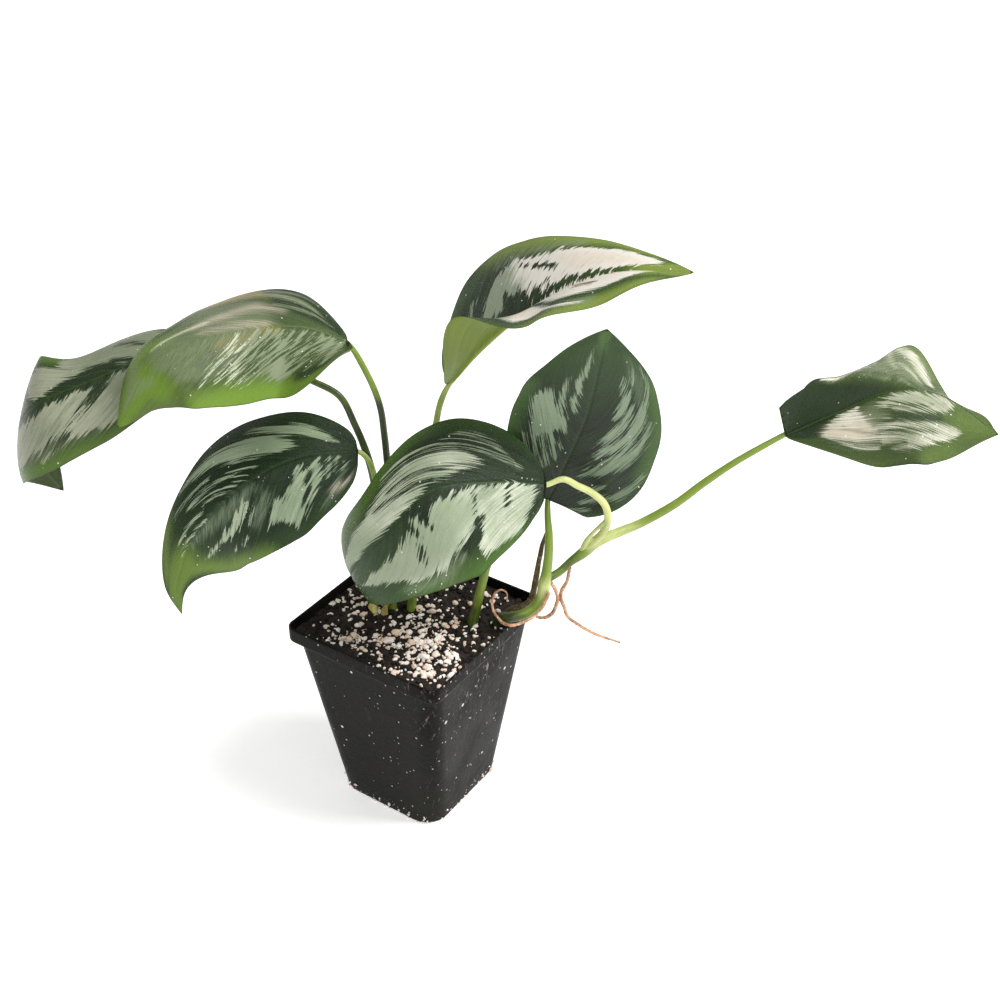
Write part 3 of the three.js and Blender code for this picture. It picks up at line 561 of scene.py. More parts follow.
        "dark": [[(.45, .1, .5), (.5, .34, .9), (.56, .48, 1.1), (.64, .56, 1), (.7, .54, .5)],
            [(.6, .12, .4), (.66, .2, .4)], [(.44, -.55, .3), (.5, -.45, .5), (.54, -.4, .3)]],
        "warm": [[(.36, -1, 1), (.5, -.92, 3.4), (.7, -.9, 3.6), (.85, -.9, 3)],
            [(.89, 0, 10), (1, 0, 38)], [(.5, .95, 2), (.62, .9, 4), (.85, .8, 4)]],
        "veil": [[(.36, -.74, 1), (.5, -.74, 2), (.66, -.78, 2)], [(.56, .66, 2), (.66, .7, 3)]],
        "grey": [[(.15, -.4, 3), (.3, -.5, 4)]],
        "glint": [[(.57, .68, 1.4), (.63, .7, 1.6)], [(.38, .6, .8), (.46, .7, .8)]],
        "blush": [[(.4, .3, 2), (.44, .5, 3)], [(.6, -.4, 4), (.8, -.35, 4)],
            [(.6, .1, 2), (.74, .15, 2)]],
        "bend": (.3, .9),
    },
    "leaf_6": {
        "silver": [[(.585, -.75), (.62, -.66), (.58, -.56), (.52, -.48), (.46, -.28), (.385, -.2),
             (.39, -.3), (.36, -.37), (.34, -.48), (.31, -.55), (.33, -.65), (.41, -.72),
             (.48, -.78), (.54, -.8)],
            [(.35, -.5, 1.2), (.28, -.42, .9), (.2, -.27, .4)],
            [(.36, -.38, 1.1), (.28, -.24, .9), (.24, -.18, .4)], [(.34, -.3, .6), (.3, -.15, .3)],
            [(.32, -.6, .8), (.24, -.5, .6), (.17, -.35, .3)],
            [(.44, -.3, .6), (.52, -.42, .8), (.62, -.45, .9), (.67, -.45, .4)],
            [(.53, -.36, .4), (.6, -.42, .9), (.7, -.46, .5)],
            [(.65, -.28, 1.2), (.72, -.25, 1.7), (.8, -.24, 1.2), (.9, -.3, .3)],
            [(.51, -.19, .5), (.58, -.24, 1), (.64, -.25, .4)],
            [(.3, -.74, .6), (.22, -.65, 1.1), (.13, -.52, .6)],
            [(.52, .36, .7), (.57, .43, 2.4), (.63, .52, 1.9), (.67, .56, .5)],
            [(.65, .42, .4), (.7, .45, .9), (.74, .47, .3)],
            [(.33, .24, .4), (.4, .33, 1.3), (.48, .44, 2), (.56, .54, 1.4), (.61, .59, .4)],
            [(.31, .31, .5), (.37, .42, 2), (.44, .56, 3), (.5, .65, 2.8), (.58, .74, 1.5),
             (.63, .77, .4)],
            [(.19, .24, .4), (.25, .42, 2.2), (.31, .58, 3), (.37, .68, 2.4), (.44, .76, 1.3),
             (.54, .85, .7)],
            [(.23, .22, .3), (.28, .35, .6), (.34, .5, .7), (.4, .6, .4)],
            [(.08, .52, .8), (.12, .66, 1.7), (.16, .8, 2.4), (.21, .88, 1.9), (.28, .94, .6)],
            [(.03, .58, .8), (.05, .72, 1.4)], [(.12, .32, .3), (.16, .5, .6), (.18, .56, .3)],
            [(.62, .8, .5), (.7, .88, .9), (.8, .9, .7)], [(.72, .62, .4), (.79, .7, .5)]],
        "warm": [[(.93, 0, 4), (1, 0, 34)], [(.3, 1, 1), (.7, .97, 3)],
            [(.3, -1, 1), (.6, -.97, 1)]],
        "veil": [[(.62, .7, 2), (.72, .7, 4), (.85, .75, 2)]],
        "glint": [[(.68, .72, 2), (.8, .84, 2)]],
        "bend": (.62, .66),
    },
    "leaf_7": {
        "silver": [[(.14, .42), (.19, .16), (.26, .05), (.33, .05), (.335, .2), (.36, .4),
             (.4, .62), (.33, .72), (.24, .68), (.17, .52)],
            [(.42, .14), (.48, .07), (.58, .04), (.7, .03), (.76, .08), (.74, .2), (.68, .27),
             (.6, .29), (.5, .27)],
            [(.34, .42), (.4, .4), (.5, .44), (.6, .45), (.7, .43), (.8, .42), (.84, .5), (.8, .62),
             (.7, .72), (.6, .76), (.5, .79), (.42, .78), (.36, .66)],
            [(.16, -.95, 1), (.26, -.86, 2.4), (.34, -.8, 3), (.4, -.7, 2)],
            [(.44, -.86, .8), (.47, -.6, 1.4), (.5, -.4, .8)],
            [(.47, -.92, .8), (.52, -.78, 3), (.58, -.7, 4), (.62, -.62, 3)],
            [(.5, -.5, .6), (.56, -.45, 2), (.6, -.36, 1)]],
        "dark": [[(.45, .3, .4), (.52, .35, 1.2), (.6, .38, 1.6), (.7, .36, 1.2), (.8, .28, .4)],
            [(.36, .7, .3), (.5, .72, .3)], [(.38, .48, .3), (.52, .54, .6), (.7, .56, .3)],
            [(.18, .5, .2), (.26, .6, .5), (.36, .64, .3)],
            [(.46, .2, .3), (.56, .22, .6), (.66, .2, .3)],
            [(.24, .3, .2), (.33, .46, .5), (.38, .5, .2)]],
        "grey": [[(.44, .1, 1), (.55, .14, 2.5), (.72, .12, 2.5)],
            [(.3, -.8, 3), (.45, -.6, 5), (.6, -.5, 5)]],
        "veil": [[(.3, .1), (.4, .1), (.46, .3), (.36, .5)],
            [(.3, -.7), (.42, -.3), (.52, -.1), (.62, -.2), (.62, -.9), (.45, -1)]],
        "warm": [[(.5, -.97, 2), (.57, -1, 3)], [(.82, .3, 5), (.95, .3, 10)],
            [(.65, .9, 2), (.8, .85, 3)]],
        "blush": [[(.2, .35, 5), (.32, .4, 5)]],
        # The patch by the base of the left half is painted shade on the inner face of the fold.
        "dim": [[(0, 0), (0, -1.1), (.13, -1.1), (.2, -.82), (.28, -.62), (.36, -.34), (.44, -.1),
             (.5, -.02), (.3, .02), (.24, .02), (.15, .3), (.1, .5), (.03, .6)],
            [(.47, .32, .6), (.6, .38, 1.4), (.72, .36, .6)], [(.6, -.5, 1.4), (.66, -.4, 2)],
            [(.3, 1.02, .2), (.45, 1.02, .8), (.7, 1.02, .2)]],
        "glint": [[(.22, -.78, .8), (.3, -.58, 1), (.38, -.34, 1), (.46, -.1, 1)],
            [(.44, .12, 2), (.52, .2, 1)]],
        "bend": (.8, 1.3),
    },
}
LENGTH, WIDTH = 120, 33  # of a leaf in the units of its marks, in millimetres
FAR = 30.0


def reach(marks, place, across):
    """Distance in millimetres to the nearest mark's edge, below 0 inside it."""
    here = np.stack([place * LENGTH, across * WIDTH], -1)
    nearest = np.full(place.shape, FAR)
    for mark in marks:
        corners = np.array([corner[:2] for corner in mark]) * [LENGTH, WIDTH]
        patch = len(mark[0]) == 2
        wide = np.array([0 if patch else corner[2] for corner in mark])
        away, inside = np.full(place.shape, 1e3), np.zeros(place.shape, bool)
        for i in range(0 if patch else 1, len(mark)):
            start, line = corners[i - 1], corners[i] - corners[i - 1]
            part = np.clip((here - start) @ line / (line @ line), 0, 1)
            gap = np.linalg.norm(here - start - part[..., None] * line, axis=-1)
            away = np.minimum(away, gap - (wide[i - 1] + (wide[i] - wide[i - 1]) * part))
            if patch and line[1]:
                between = (start[1] > here[..., 1]) != (corners[i][1] > here[..., 1])
                cross = start[0] + (here[..., 1] - start[1]) * line[0] / line[1]
                inside ^= between & (here[..., 0] < cross)
        nearest = np.minimum(nearest, np.where(inside, -away, away))
    return nearest


ROWS, COLUMNS = 118, 38
RIB_COLUMNS = [0, 0.012, 0.026, 0.042, 0.062, 0.088]
THICKNESS = 0.5
VEIN_GAP = 0.062  # share of the midrib from one side vein to the next
DARK_CUT = 0.6  # millimetres of silver that a dark streak takes away on each side


def leaf_mesh(name, look, under_look):
    leaf, marks = LEAVES[name], MARKS[name]
    out = np.concatenate([RIB_COLUMNS, np.linspace(0.12, 0.975, COLUMNS - 8), [0.99, 1.0]])
    columns = np.concatenate([-out[:0:-1], out])
    rows = (np.arange(1, ROWS) / ROWS) ** 1.08
    place, across = np.meshgrid(rows, columns, indexing="ij")
    out = np.abs(across)
    top = blade(leaf, place, across)
    lengthwise = np.gradient(top, axis=0)
    lengthwise[0], lengthwise[-1] = lengthwise[1], lengthwise[-2]
    normal = unit(np.cross(np.gradient(top, axis=1), lengthwise))

    # Relief: side veins, a groove over the midrib, soft waves, and a rib under the midrib
    width = np.where(across < 0, half_width(leaf, "left", place), half_width(leaf, "right", place))
    away = out * np.maximum(width, 0.5)
    size = np.minimum(1, width / 12)
    vein = place - np.where(across < 0, *marks["bend"]) * out ** 1.3
    quilt = 0.16 * np.abs(np.sin(np.pi * vein / VEIN_GAP)) ** 0.7 * smooth(out, 0.05, 0.4)
    quilt = quilt * smooth(1 - out, 0, 0.25) * size
    dent = 0.35 * np.exp(-(away / 0.7) ** 2) * size
    lift = quilt - dent + 0.25 * size * noise(top, 14, seed=3)
    edge = np.sqrt(np.clip(1 - out ** 14, 0, 1))
    rib = (0.25 + 1.25 * (1 - place) ** 1.2) * np.exp(-(away / 1.3) ** 2) * size
    upper = top + normal * (lift * edge)[..., None]
    lower = top + normal * ((lift - THICKNESS) * edge - rib)[..., None]
    curve = spline(leaf["midrib"])
    points = [upper.reshape(-1, 3), lower[:, 1:-1].reshape(-1, 3), curve[:1], curve[-1:]]

    # Numbers for the look
    numbers = {"place": place, "across": across, "vein": vein * LENGTH, "out": out * WIDTH}
    for kind in ("silver", "dark", "warm", "blush", "rust", "dim", "veil", "grey", "glint"):
        numbers[kind] = -reach(marks.get(kind, []), place, across)
    numbers["silver"] = np.minimum(numbers["silver"], -numbers.pop("dark") - DARK_CUT)
    middle = len(columns) // 2
    for word, grid in numbers.items():
        ends = [0, 1] if word == "place" else [grid[0, middle], grid[-1, middle]]
        numbers[word] = np.concatenate([grid.ravel(), grid[:, 1:-1].ravel(), ends])

    # Faces: both sides share the points of the margin and the two at the ends
    above = np.arange(place.size).reshape(place.shape)
    inner = above.size + np.arange(lower[:, 1:-1, 0].size).reshape(len(rows), -1)
    below = np.hstack([above[:, :1], inner, above[:, -1:]])
    first = above.size + inner.size
    last = first + 1
    faces, kinds = [], []
    for kind, grid in enumerate((above, below)):
        quads = [grid[:-1, :-1], grid[:-1, 1:], grid[1:, 1:], grid[1:, :-1]]
        part = [tuple(quad) for quad in np.stack(quads, -1).reshape(-1, 4)]
        part += [(a, b, first) for a, b in zip(grid[0], grid[0, 1:])]
        part += [(b, a, last) for a, b in zip(grid[-1], grid[-1, 1:])]
        faces += [face[::-1] for face in part] if kind else part
        kinds += [kind] * len(part)
    v = (numbers["across"] + 1) * 0.24 + 0.01
    v[above.size:first] += 0.5
    uv = np.stack([numbers["place"], v], -1)
    made(name + "_blade", np.vstack(points), faces, [look, under_look], "leaf", [name], numbers,
         uv, kinds)


# Brown, dark green and pink for marks; the dark green is partly the leaf's own and partly painted
# shade.
RUST, DARK_GREEN_AND_SHADE, BLUSH = (138, 120, 58), (24, 44, 16), (208, 194, 174)
# A dark edge colour, then the white of the leaves' specks, which are partly dust and partly painted
# glints.
RIM, DUST_AND_GLINTS = (40, 46, 26), (238, 238, 224)


def leaf_look(name, dark, mid, warm, silver, pale, seed, rise=0.3):
    """Upper face. rise is how much paler the silver turns towards the tip."""
    look = Look(name)
    vein, out, place = (look.number(word) for word in ("vein", "out", "place"))
    apart = look.number("across") * 2.5 + seed

    def drawn(across_veins, along_veins, detail):
        """Noise that is stretched along the side veins."""
        spot = look.vector(vein * across_veins, out * along_veins, apart)
        return look.noise(1.0, detail, 0.62, spot)

    streaks, fine, thread = drawn(0.5, 0.07, 4), drawn(1.7, 0.2, 3), drawn(3.6, 0.22, 2)
    broad, grain = look.noise(38.0, 3, 0.5), look.noise(1900.0, 3, 0.7)
    cut = (streaks - 0.5) * 12 + (fine - 0.5) * 7

    def zone(kind, low, high, torn=0.6):
        """1 inside the marks of a kind and 0 outside, with edges that the streaks tear."""
        return (look.number(kind) + cut * torn).ramp(low, high)

    margin = (out + broad * 10).ramp(27, 39)
    ahead = (place + broad * 0.3).ramp(0.55, 1.15)
    # Green with lime, brown and dim dark green marks; the dim dark green is partly painted shade.
    green = look.paint(
        dark, (streaks.ramp(0.35, 0.75, 0.0, 0.4), mid), (margin * 0.6, mid), (ahead * 0.8, mid),
        (zone("warm", -9, 5) * 0.95, warm), (zone("rust", -3, 3) * 0.75, RUST),
        (zone("dim", -2.5, 2) * 0.9, DARK_GREEN_AND_SHADE), (thread.ramp(0.6, 0.8, 0.0, 0.3), mid))
    tone = streaks * 0.9 + broad * 0.7 + thread * 0.3 + grain * 0.35
    tone = tone + place.ramp(0.2, 0.6, -0.5 * rise, 0.5 * rise)
    # Pale silver, with grey marks that dull it back to silver, partly as painted shade.
    shine = look.paint(
        silver, (tone.ramp(0.92, 1.32), pale), (zone("grey", -4, 4, 1.0) * 0.8, silver),
        (fine.ramp(0.56, 0.74, 0.0, 0.5), mid))
    mask = zone("silver", -0.25, 0.35, 1.0)
    veil = zone("veil", -3, 4, 1.0) * thread.ramp(0.35, 0.7, 0.2, 0.8)
    blush = zone("blush", -4, 3, 1.0) * thread.ramp(0.38, 0.62, 0.2, 0.85)
    rib = out.ramp(0.8, 0.2, 0.0, 0.4) * place.ramp(0.9, 0.0)
    # White specks: small ones all over that are partly dust and partly painted glints, and denser
    # painted glints inside the glint marks.
    glint = look.specks(620.0, 0.3, 0.7) * zone("glint", -1.5, 1.5, 0.4)
    dust = look.math("MAXIMUM", look.specks(280.0, 0.13, 0.5) * 0.85, glint)
    shade = look.paint(
        green, (veil, silver), (mask, shine), (blush, BLUSH), (rib, mid),
        (out.ramp(32.2, 33.0, 0.0, 0.5), RIM), (dust, DUST_AND_GLINTS))
    rough = (grain + mask * 0.1).ramp(0.3, 0.9, 0.22, 0.42)
    return look.finish(shade, rough, fine * 0.6 + grain * 0.6 + dust, 0.0003, 0.3)


def under_look(name, base, vein_shade):
    look = Look(name)
    out = look.number("out")
    lines = look.noise(1.0, 3, 0.6, look.vector(look.number("vein") * 0.9, out * 0.08, 3.0))
    broad, grain = look.noise(60.0, 3, 0.55), look.noise(1300.0, 2, 0.6)
    shade = look.paint(
        base, (lines.ramp(0.4, 0.75, 0.0, 0.6), vein_shade),
        (broad.ramp(0.4, 0.8, 0.0, 0.3), (88, 108, 56)), (out.ramp(1.6, 0.4, 0.0, 0.7), vein_shade))
    return look.finish(shade, grain.ramp(0.3, 0.8, 0.42, 0.6), lines + grain * 0.4, 0.0002, 0.4)


UNDER = under_look("leaf_underside", (98, 116, 26), (142, 156, 56))
UNDER_DARK = under_look("leaf_underside_dark", (50, 66, 30), (92, 108, 54))

# Dark, mid and warm green, silver and pale silver, then the seed and the rise
LOOKS = {
    "leaf_1": ((18, 34, 12), (66, 90, 34), (84, 110, 42), (118, 126, 102), (152, 155, 132), 11),
    "leaf_2": ((54, 72, 34), (96, 116, 54), (106, 138, 40), (126, 136, 106), (194, 200, 172), 22,
               1),
    "leaf_3": ((14, 34, 11), (44, 68, 28), (98, 124, 42), (130, 146, 118), (168, 180, 152), 33),
    "leaf_4": ((16, 32, 11), (54, 82, 32), (74, 104, 40), (142, 154, 126), (198, 204, 182), 44, 0),
    "leaf_5": ((16, 32, 11), (64, 90, 36), (118, 136, 56), (136, 148, 124), (216, 211, 200), 55,
               1.3),
    "leaf_6": ((9, 20, 7), (50, 78, 31), (70, 98, 46), (102, 120, 94), (132, 148, 122), 66),
    "leaf_7": ((52, 72, 28), (78, 96, 42), (84, 106, 42), (138, 146, 116), (226, 222, 206), 77, 0),
}
for name in LEAVES:
    under = UNDER_DARK if name == "leaf_1" else UNDER
    leaf_mesh(name, leaf_look(name + "_face", *LOOKS[name]), under)


# Stalks, stems and roots
def tube(points, radii, sides, steps, groove=0.0, ridges=0.0, taper=0.0):
    """Skin along a smooth curve, which thins over the last taper millimetres, and the place of
    each of its points along the curve."""
    curve = spline(points)
    places = np.linspace(0, 1, steps + 1)
    thin = np.ones(steps + 1)
    if taper:
        thin = smooth((1 - places) * steps_of(curve).sum(), 0, taper) * 0.75 + 0.25
    middle = at(curve, places)
    tangent = unit(np.gradient(middle, axis=0))
    side = np.cross(tangent[0], [0, 0, 1.0])
    if np.linalg.norm(side) < 0.1:
        side = np.array([1.0, 0, 0])
    angles = np.arange(sides) * 2 * np.pi / sides
    shape = 1 - groove * np.exp(-((angles - np.pi / 2) / 0.45) ** 2) + ridges * np.sin(5 * angles)
    rings = []
    for place, centre, ahead, share in zip(places, middle, tangent, thin):
        side = unit(side - side @ ahead * ahead)
        radius = (along(radii, place) * shape * share)[:, None]
        around = np.cos(angles)[:, None] * side + np.sin(angles)[:, None] * np.cross(ahead, side)
        rings.append(centre + radius * around)
    verts, faces = loft(rings, middle[[0, -1]])
    return verts, faces, np.concatenate([np.repeat(places, sides), [0, 1]])


def stem_look(name, dark, mid, pale):
    """Green of a stalk by its tone: 0 dark, 0.5 mid and 1 pale."""
    look = Look(name)
    spot = look.vector(look.number("turn") * 5.0, look.number("run") * 0.12, 5.0)
    fibre, broad = look.noise(1.0, 3, 0.6, spot), look.noise(90.0)
    grain = look.noise(1800.0, 2, 0.6)
    tone = look.number("tone") + (broad - 0.5) * 0.45 + (fibre - 0.5) * 0.35
    shade = look.paint(
        dark, (tone.ramp(0.0, 0.5), mid), (tone.ramp(0.5, 1.0), pale),
        (look.specks(700.0, 0.16, 0.12) * 0.45, (206, 206, 160)))
    return look.finish(shade, grain.ramp(0.3, 0.8, 0.32, 0.5), fibre + grain * 0.4, 0.00022, 0.45)


STEM = stem_look("stalk_green", (40, 52, 22), (118, 140, 46), (204, 208, 140))
STEM_SIDES = 20


def stem(name, node, points, radii, tones, steps, **more):
    """A stalk with its tones from the foot to the tip."""
    verts, faces, places = tube(points, radii, STEM_SIDES, steps, **more)
    turn = 2 * np.abs(np.arange(STEM_SIDES) / STEM_SIDES - 0.5)
    numbers = {"tone": along(tones, places), "run": places * steps_of(spline(points)).sum(),
               "turn": np.concatenate([np.tile(turn, steps + 1), [0, 0]])}
    made(name, verts, faces, [STEM], "stalk", [node], numbers)


def to_leaf(points, name):
    """A stalk's points, with its end carried under the leaf's base into the midrib."""
    leaf = LEAVES[name]
    spot = blade(leaf, np.array([0.02, 0.06, 0.04, 0.04]), np.array([0.001, 0.001, -0.2, 0.2]))
    ahead = unit(spot[1] - spot[0])
    normal = unit(np.cross(spot[3] - spot[2], ahead))
    return points[:-1] + [list(leaf["midrib"][0] + reached * ahead - under * normal)
                          for reached, under in ((0, 1.3), (4.5, 1.7), (10, 1.3))]


TAPER = 11
PETIOLES = {
    "leaf_1": ("petiole_1", [
        [-19, 3, 89], [-19.8, 3.8, 101], [-22.6, 5.4, 136], [-28, 8, 169], [-32, 8, 184],
        [-38, 8, 197], [-45, 7, 210], [-56, 3, 216], [-79, -8, 224], [-99.8, -16.9, 228],
    ], [2.7, 2.6, 2.3, 2.1, 1.9, 1.7, 1.6, 1.5, 1.45, 1.0], [0.7, 0.6, 0.3, 0.05, 0.1, 0.4, 0.6]),
    "leaf_2": ("petiole_2", [
        [-15.5, 10.5, 89], [-16.3, 11, 101], [-19.5, 12, 135], [-23, 13, 173], [-25, 14, 192],
        [-27, 14, 208], [-32, 12, 224], [-38.9, 8.1, 241.2],
    ], [2.4, 2.3, 2.1, 1.9, 1.7, 1.6, 1.5, 0.9], [0.6, 0.2, -0.1, -0.1, 0.0, 0.4, 0.6]),
    "leaf_3": ("petiole_3", [
        [-13, 0, 89], [-13.5, 0.2, 101], [-16.5, 1.5, 120], [-20.7, 3.3, 152], [-23.3, 3.4, 174],
        [-25.7, 2.1, 184], [-28.9, -0.1, 188.9],
    ], [2.2, 2.1, 1.9, 1.7, 1.6, 1.5, 1.3, 0.8], [0.7, 0.5, 0.5, 0.55, 0.75]),
    "leaf_5": ("petiole_5", [
        [-5.9, 4, 89], [-5.9, 4.8, 101], [-6, 11, 130], [-4.5, 19, 170], [-2, 24, 200],
        [0, 26, 213], [2, 28, 222],
    ], [2.4, 2.3, 2.1, 1.9, 1.7, 1.6, 1.5, 0.9], [0.6, 0.55, 0.6, 0.65]),
}
for leaf, (node, points, radii, tones) in PETIOLES.items():
    stem(node + "_stalk", node, to_leaf(points, leaf), radii, tones, 150, groove=0.16, taper=TAPER)
stem("shoot_stem", "shoot", [
    [23.5, 13.3, 88], [24.5, 13.6, 98], [26, 14.2, 106], [29.9, 14.3, 123.9], [31.8, 16.8, 136.2],
    [35, 21.4, 150.5], [36.6, 24.9, 164],
], [2.9, 2.8, 2.5, 2.2, 1.9, 1.4, 0.5], [0.1, 0.2, 0.5, 0.6, 0.55], 110, groove=0.1)

VINE = [
    [33.5, 21, 88], [34.5, 20.5, 98], [39, 18.8, 107.6], [45, 17.5, 111.6], [50, 21.5, 113],
    [53, 26, 115.7], [55.5, 28.5, 121.5], [56.5, 30, 131], [56.5, 32.3, 142], [55, 35, 154],
    [51.7, 38.8, 160.5], [49.3, 42.5, 166.6],
]
OUTER = [
    [56.5, 30, 131], [60, 37, 133], [62.4, 43.6, 136.2], [66, 47.5, 140], [70, 51.3, 145],
    [74, 55, 148], [78, 59, 150], [87, 67, 155], [100, 76, 166], [109, 84, 176], [121, 93, 188],
    [138, 106, 201],
]
ARCH = [
    [66, 47.5, 140], [70.5, 50, 147], [75, 52, 154], [76.5, 52.5, 162], [75.5, 50, 171],
    [71, 46, 177.5], [67, 40, 183], [62, 35, 187.5], [57.3, 29.4, 186.1],
]
WING = [[66, 47.5, 140], [67.5, 48, 146.5], [70.5, 48.5, 152.5], [75.5, 51, 160]]

# Points, radii, tones and taper of each arm
ARMS = [
    (to_leaf(VINE, "leaf_6"), [2.9, 2.9, 2.8, 2.7, 2.5, 2.6, 3.1, 2.4, 2.2, 1.9, 1.6, 1.3, 0.9],
     [0, 0, 0.1, 0.4, 0.8, 0.45, 0.45, 0.4, 0.4], TAPER),
    (to_leaf(OUTER, "leaf_7"), [2, 2, 2.9, 2.5, 2.2, 2.1, 2, 1.9, 1.7, 1.6, 1.4, 1.0],
     [0.2, 0.25, 0.8, 0.75, 0.5, 0.55, 0.5, 0.45, 0.5, 0.6], TAPER),
    (to_leaf(ARCH, "leaf_4"), [2, 2, 1.9, 1.8, 1.7, 1.6, 1.3, 0.9],
     [0.75, 0.8, 0.95, 0.95, 0.9, 1.0], TAPER),
    (WING, [1.8, 1.4, 1, 0.9], [0.85, 0.85], 0),
]
CHUNK = 4000


def gather(skins):
    """Points and faces of several skins as those of one."""
    verts, faces, count = [], [], 0
    for points, part in skins:
        faces += [[i + count for i in face] for face in part]
        verts.append(points)
        count += len(points)
    return np.vstack(verts), faces


def joined_stem(name, arms, nodes, voxel):
    """Arms grown into one skin, each point of which takes its numbers from the nearest arm."""
    skins = [tube(points, radii, 16, 160, taper=taper)[:2] for points, radii, _, taper in arms]
    holder = plain(name + "_rough", *gather(skins))
    remesh = holder.modifiers.new("skin", "REMESH")
    remesh.mode, remesh.voxel_size = "VOXEL", voxel * MM
    soft = holder.modifiers.new("soft", "SMOOTH")
    soft.factor, soft.iterations = 0.5, 4
    skin = holder.evaluated_get(bpy.context.evaluated_depsgraph_get()).to_mesh()
    places = np.empty(3 * len(skin.vertices), np.float32)
    skin.vertices.foreach_get("co", places)
    places = places.reshape(-1, 3) / MM
    faces = [tuple(face.vertices) for face in skin.polygons]
    bpy.data.objects.remove(holder)
    nearest = np.full(len(places), 1e9)
    numbers = {word: np.zeros(len(places)) for word in ("tone", "turn", "run")}
    for points, radii, tones, _ in arms:
        curve = spline(points, 260)
        length = steps_of(curve).sum()
        tangent = unit(np.gradient(curve, axis=0))
        for low in range(0, len(places), CHUNK):
            some = places[low:low + CHUNK]
            away = np.linalg.norm(some[:, None] - curve[None], axis=2)
            index = away.argmin(axis=1)
            place = index / (len(curve) - 1)
            apart = away.min(axis=1) / along(radii, place)
            better = apart < nearest[low:low + CHUNK]
            rows = low + np.flatnonzero(better)
            nearest[rows] = apart[better]
            out = unit(some - curve[index])
            side = unit(np.cross(tangent[index], [0.3, -0.2, 1.0]))
            turn = np.arccos(np.clip((out * side).sum(1), -1, 1)) / np.pi
            found = {"tone": along(tones, place), "run": place * length, "turn": turn}
            for word, values in found.items():
                numbers[word][rows] = values[better]
    made(name, places, faces, [STEM], "stalk", nodes, numbers)


joined_stem("vine", ARMS, ["vine_stem", "petiole_4", "petiole_6", "petiole_7"], 0.4)


def dry_look(name, dark, mid, pale):
    look = Look(name)
    broad, fine = look.noise(160.0, 4, 0.6), look.noise(900.0, 3, 0.65)
    shade = look.paint(dark, (broad.ramp(0.35, 0.65), mid), (fine.ramp(0.5, 0.75), pale))
    return look.finish(shade, fine.ramp(0.3, 0.8, 0.6, 0.85), broad + fine * 0.7, 0.0004, 0.3)


SHEATH = dry_look("sheath_dark", (62, 52, 34), (104, 88, 54), (150, 130, 84))
PAPER = dry_look("sheath_pale", (176, 158, 88), (216, 202, 122), (238, 222, 168))
ROOT = dry_look("root_tan", (146, 104, 76), (204, 158, 124), (236, 206, 176))


def strand(name, node, slot, look, uneven, points, *shape, **more):
    """A dry strand with an uneven skin, by its depth, size and seed."""
    verts, faces, _ = tube(points, *shape, **more)
    depth, size, seed = uneven
    verts = verts + depth * np.stack([noise(verts, size, seed + k) for k in range(3)], -1)
    made(name, verts, faces, [look], slot, [node])


strand("old_sheath_strand", "old_sheath", "dry_sheath", SHEATH, (0.15, 2.5, 5), [
    [32, 30, 88], [32.7, 29.5, 98], [38.6, 27.8, 106.8], [45, 28.2, 111], [47.5, 31, 114],
    [49.6, 31.2, 123], [49.8, 35, 137.5], [50.2, 38, 147.5], [51, 41.7, 154.5],
], [1.7, 1.7, 1.6, 1.5, 1.2, 0.6], 14, 110, ridges=0.1)
strand("dry_sheath_tip", "dry_sheath", "dry_sheath", PAPER, (0.2, 2.0, 8), [
    [-15.7, -4.2, 93], [-15.5, -4.6, 102], [-14.3, -3.8, 107.5], [-12, -3.2, 113.5],
], [1.5, 1.9, 1.2, 0.3], 14, 50, groove=0.4)
strand("stub_end", "stub", "dry_sheath", PAPER, (0.4, 2.2, 11), [
    [-25, -2.5, 101], [-21.5, -5.3, 103], [-18.8, -7.6, 102.2],
], [1.4, 2.5, 2.3, 1.1], 14, 40)

ROOTS = {
    "aerial_root_1": ([
        [62, 43.4, 132.7], [61.5, 41.8, 125], [60.1, 39.7, 120.3], [59.3, 40.3, 114.7],
        [60.1, 42.1, 109], [61.3, 44.1, 102], [64.1, 48.4, 96.1], [68.6, 53.9, 89.5],
        [72.2, 59.9, 83.9], [77.9, 68.7, 76.9],
    ], [0.9, 0.9, 0.8, 0.8, 0.5]),
    "aerial_root_2": ([
        [57.2, 33.9, 128], [58.5, 36.5, 121.5], [59.2, 37.5, 115.5], [58.6, 36.2, 111],
        [57.5, 35, 107.8], [55.4, 33.5, 105.9], [53, 32, 105.3], [50.9, 30.5, 106.8],
    ], [0.9, 0.9, 1, 0.7]),
    "aerial_root_3": ([
        [60.2, 27.7, 126.5], [59.4, 26.4, 122.2], [58.1, 25.1, 118.3], [56.4, 23.3, 115],
        [54.7, 20.6, 113], [51.4, 16.1, 111.4], [48.5, 13.2, 111], [44.5, 12.5, 110.8],
        [39.9, 14, 111.5], [37.5, 13.7, 115], [36, 14.8, 118.3], [36.1, 17.3, 122.3],
        [37.7, 20.3, 123.2], [39.6, 22.3, 120.6], [40.6, 20.8, 117.4],
    ], [0.9, 0.8, 0.7, 0.6, 0.35]),
}
for name, (points, radii) in ROOTS.items():
    strand(name + "_strand", name, "root", ROOT, (0.14, 1.6, 21), points, radii, 12, 190)


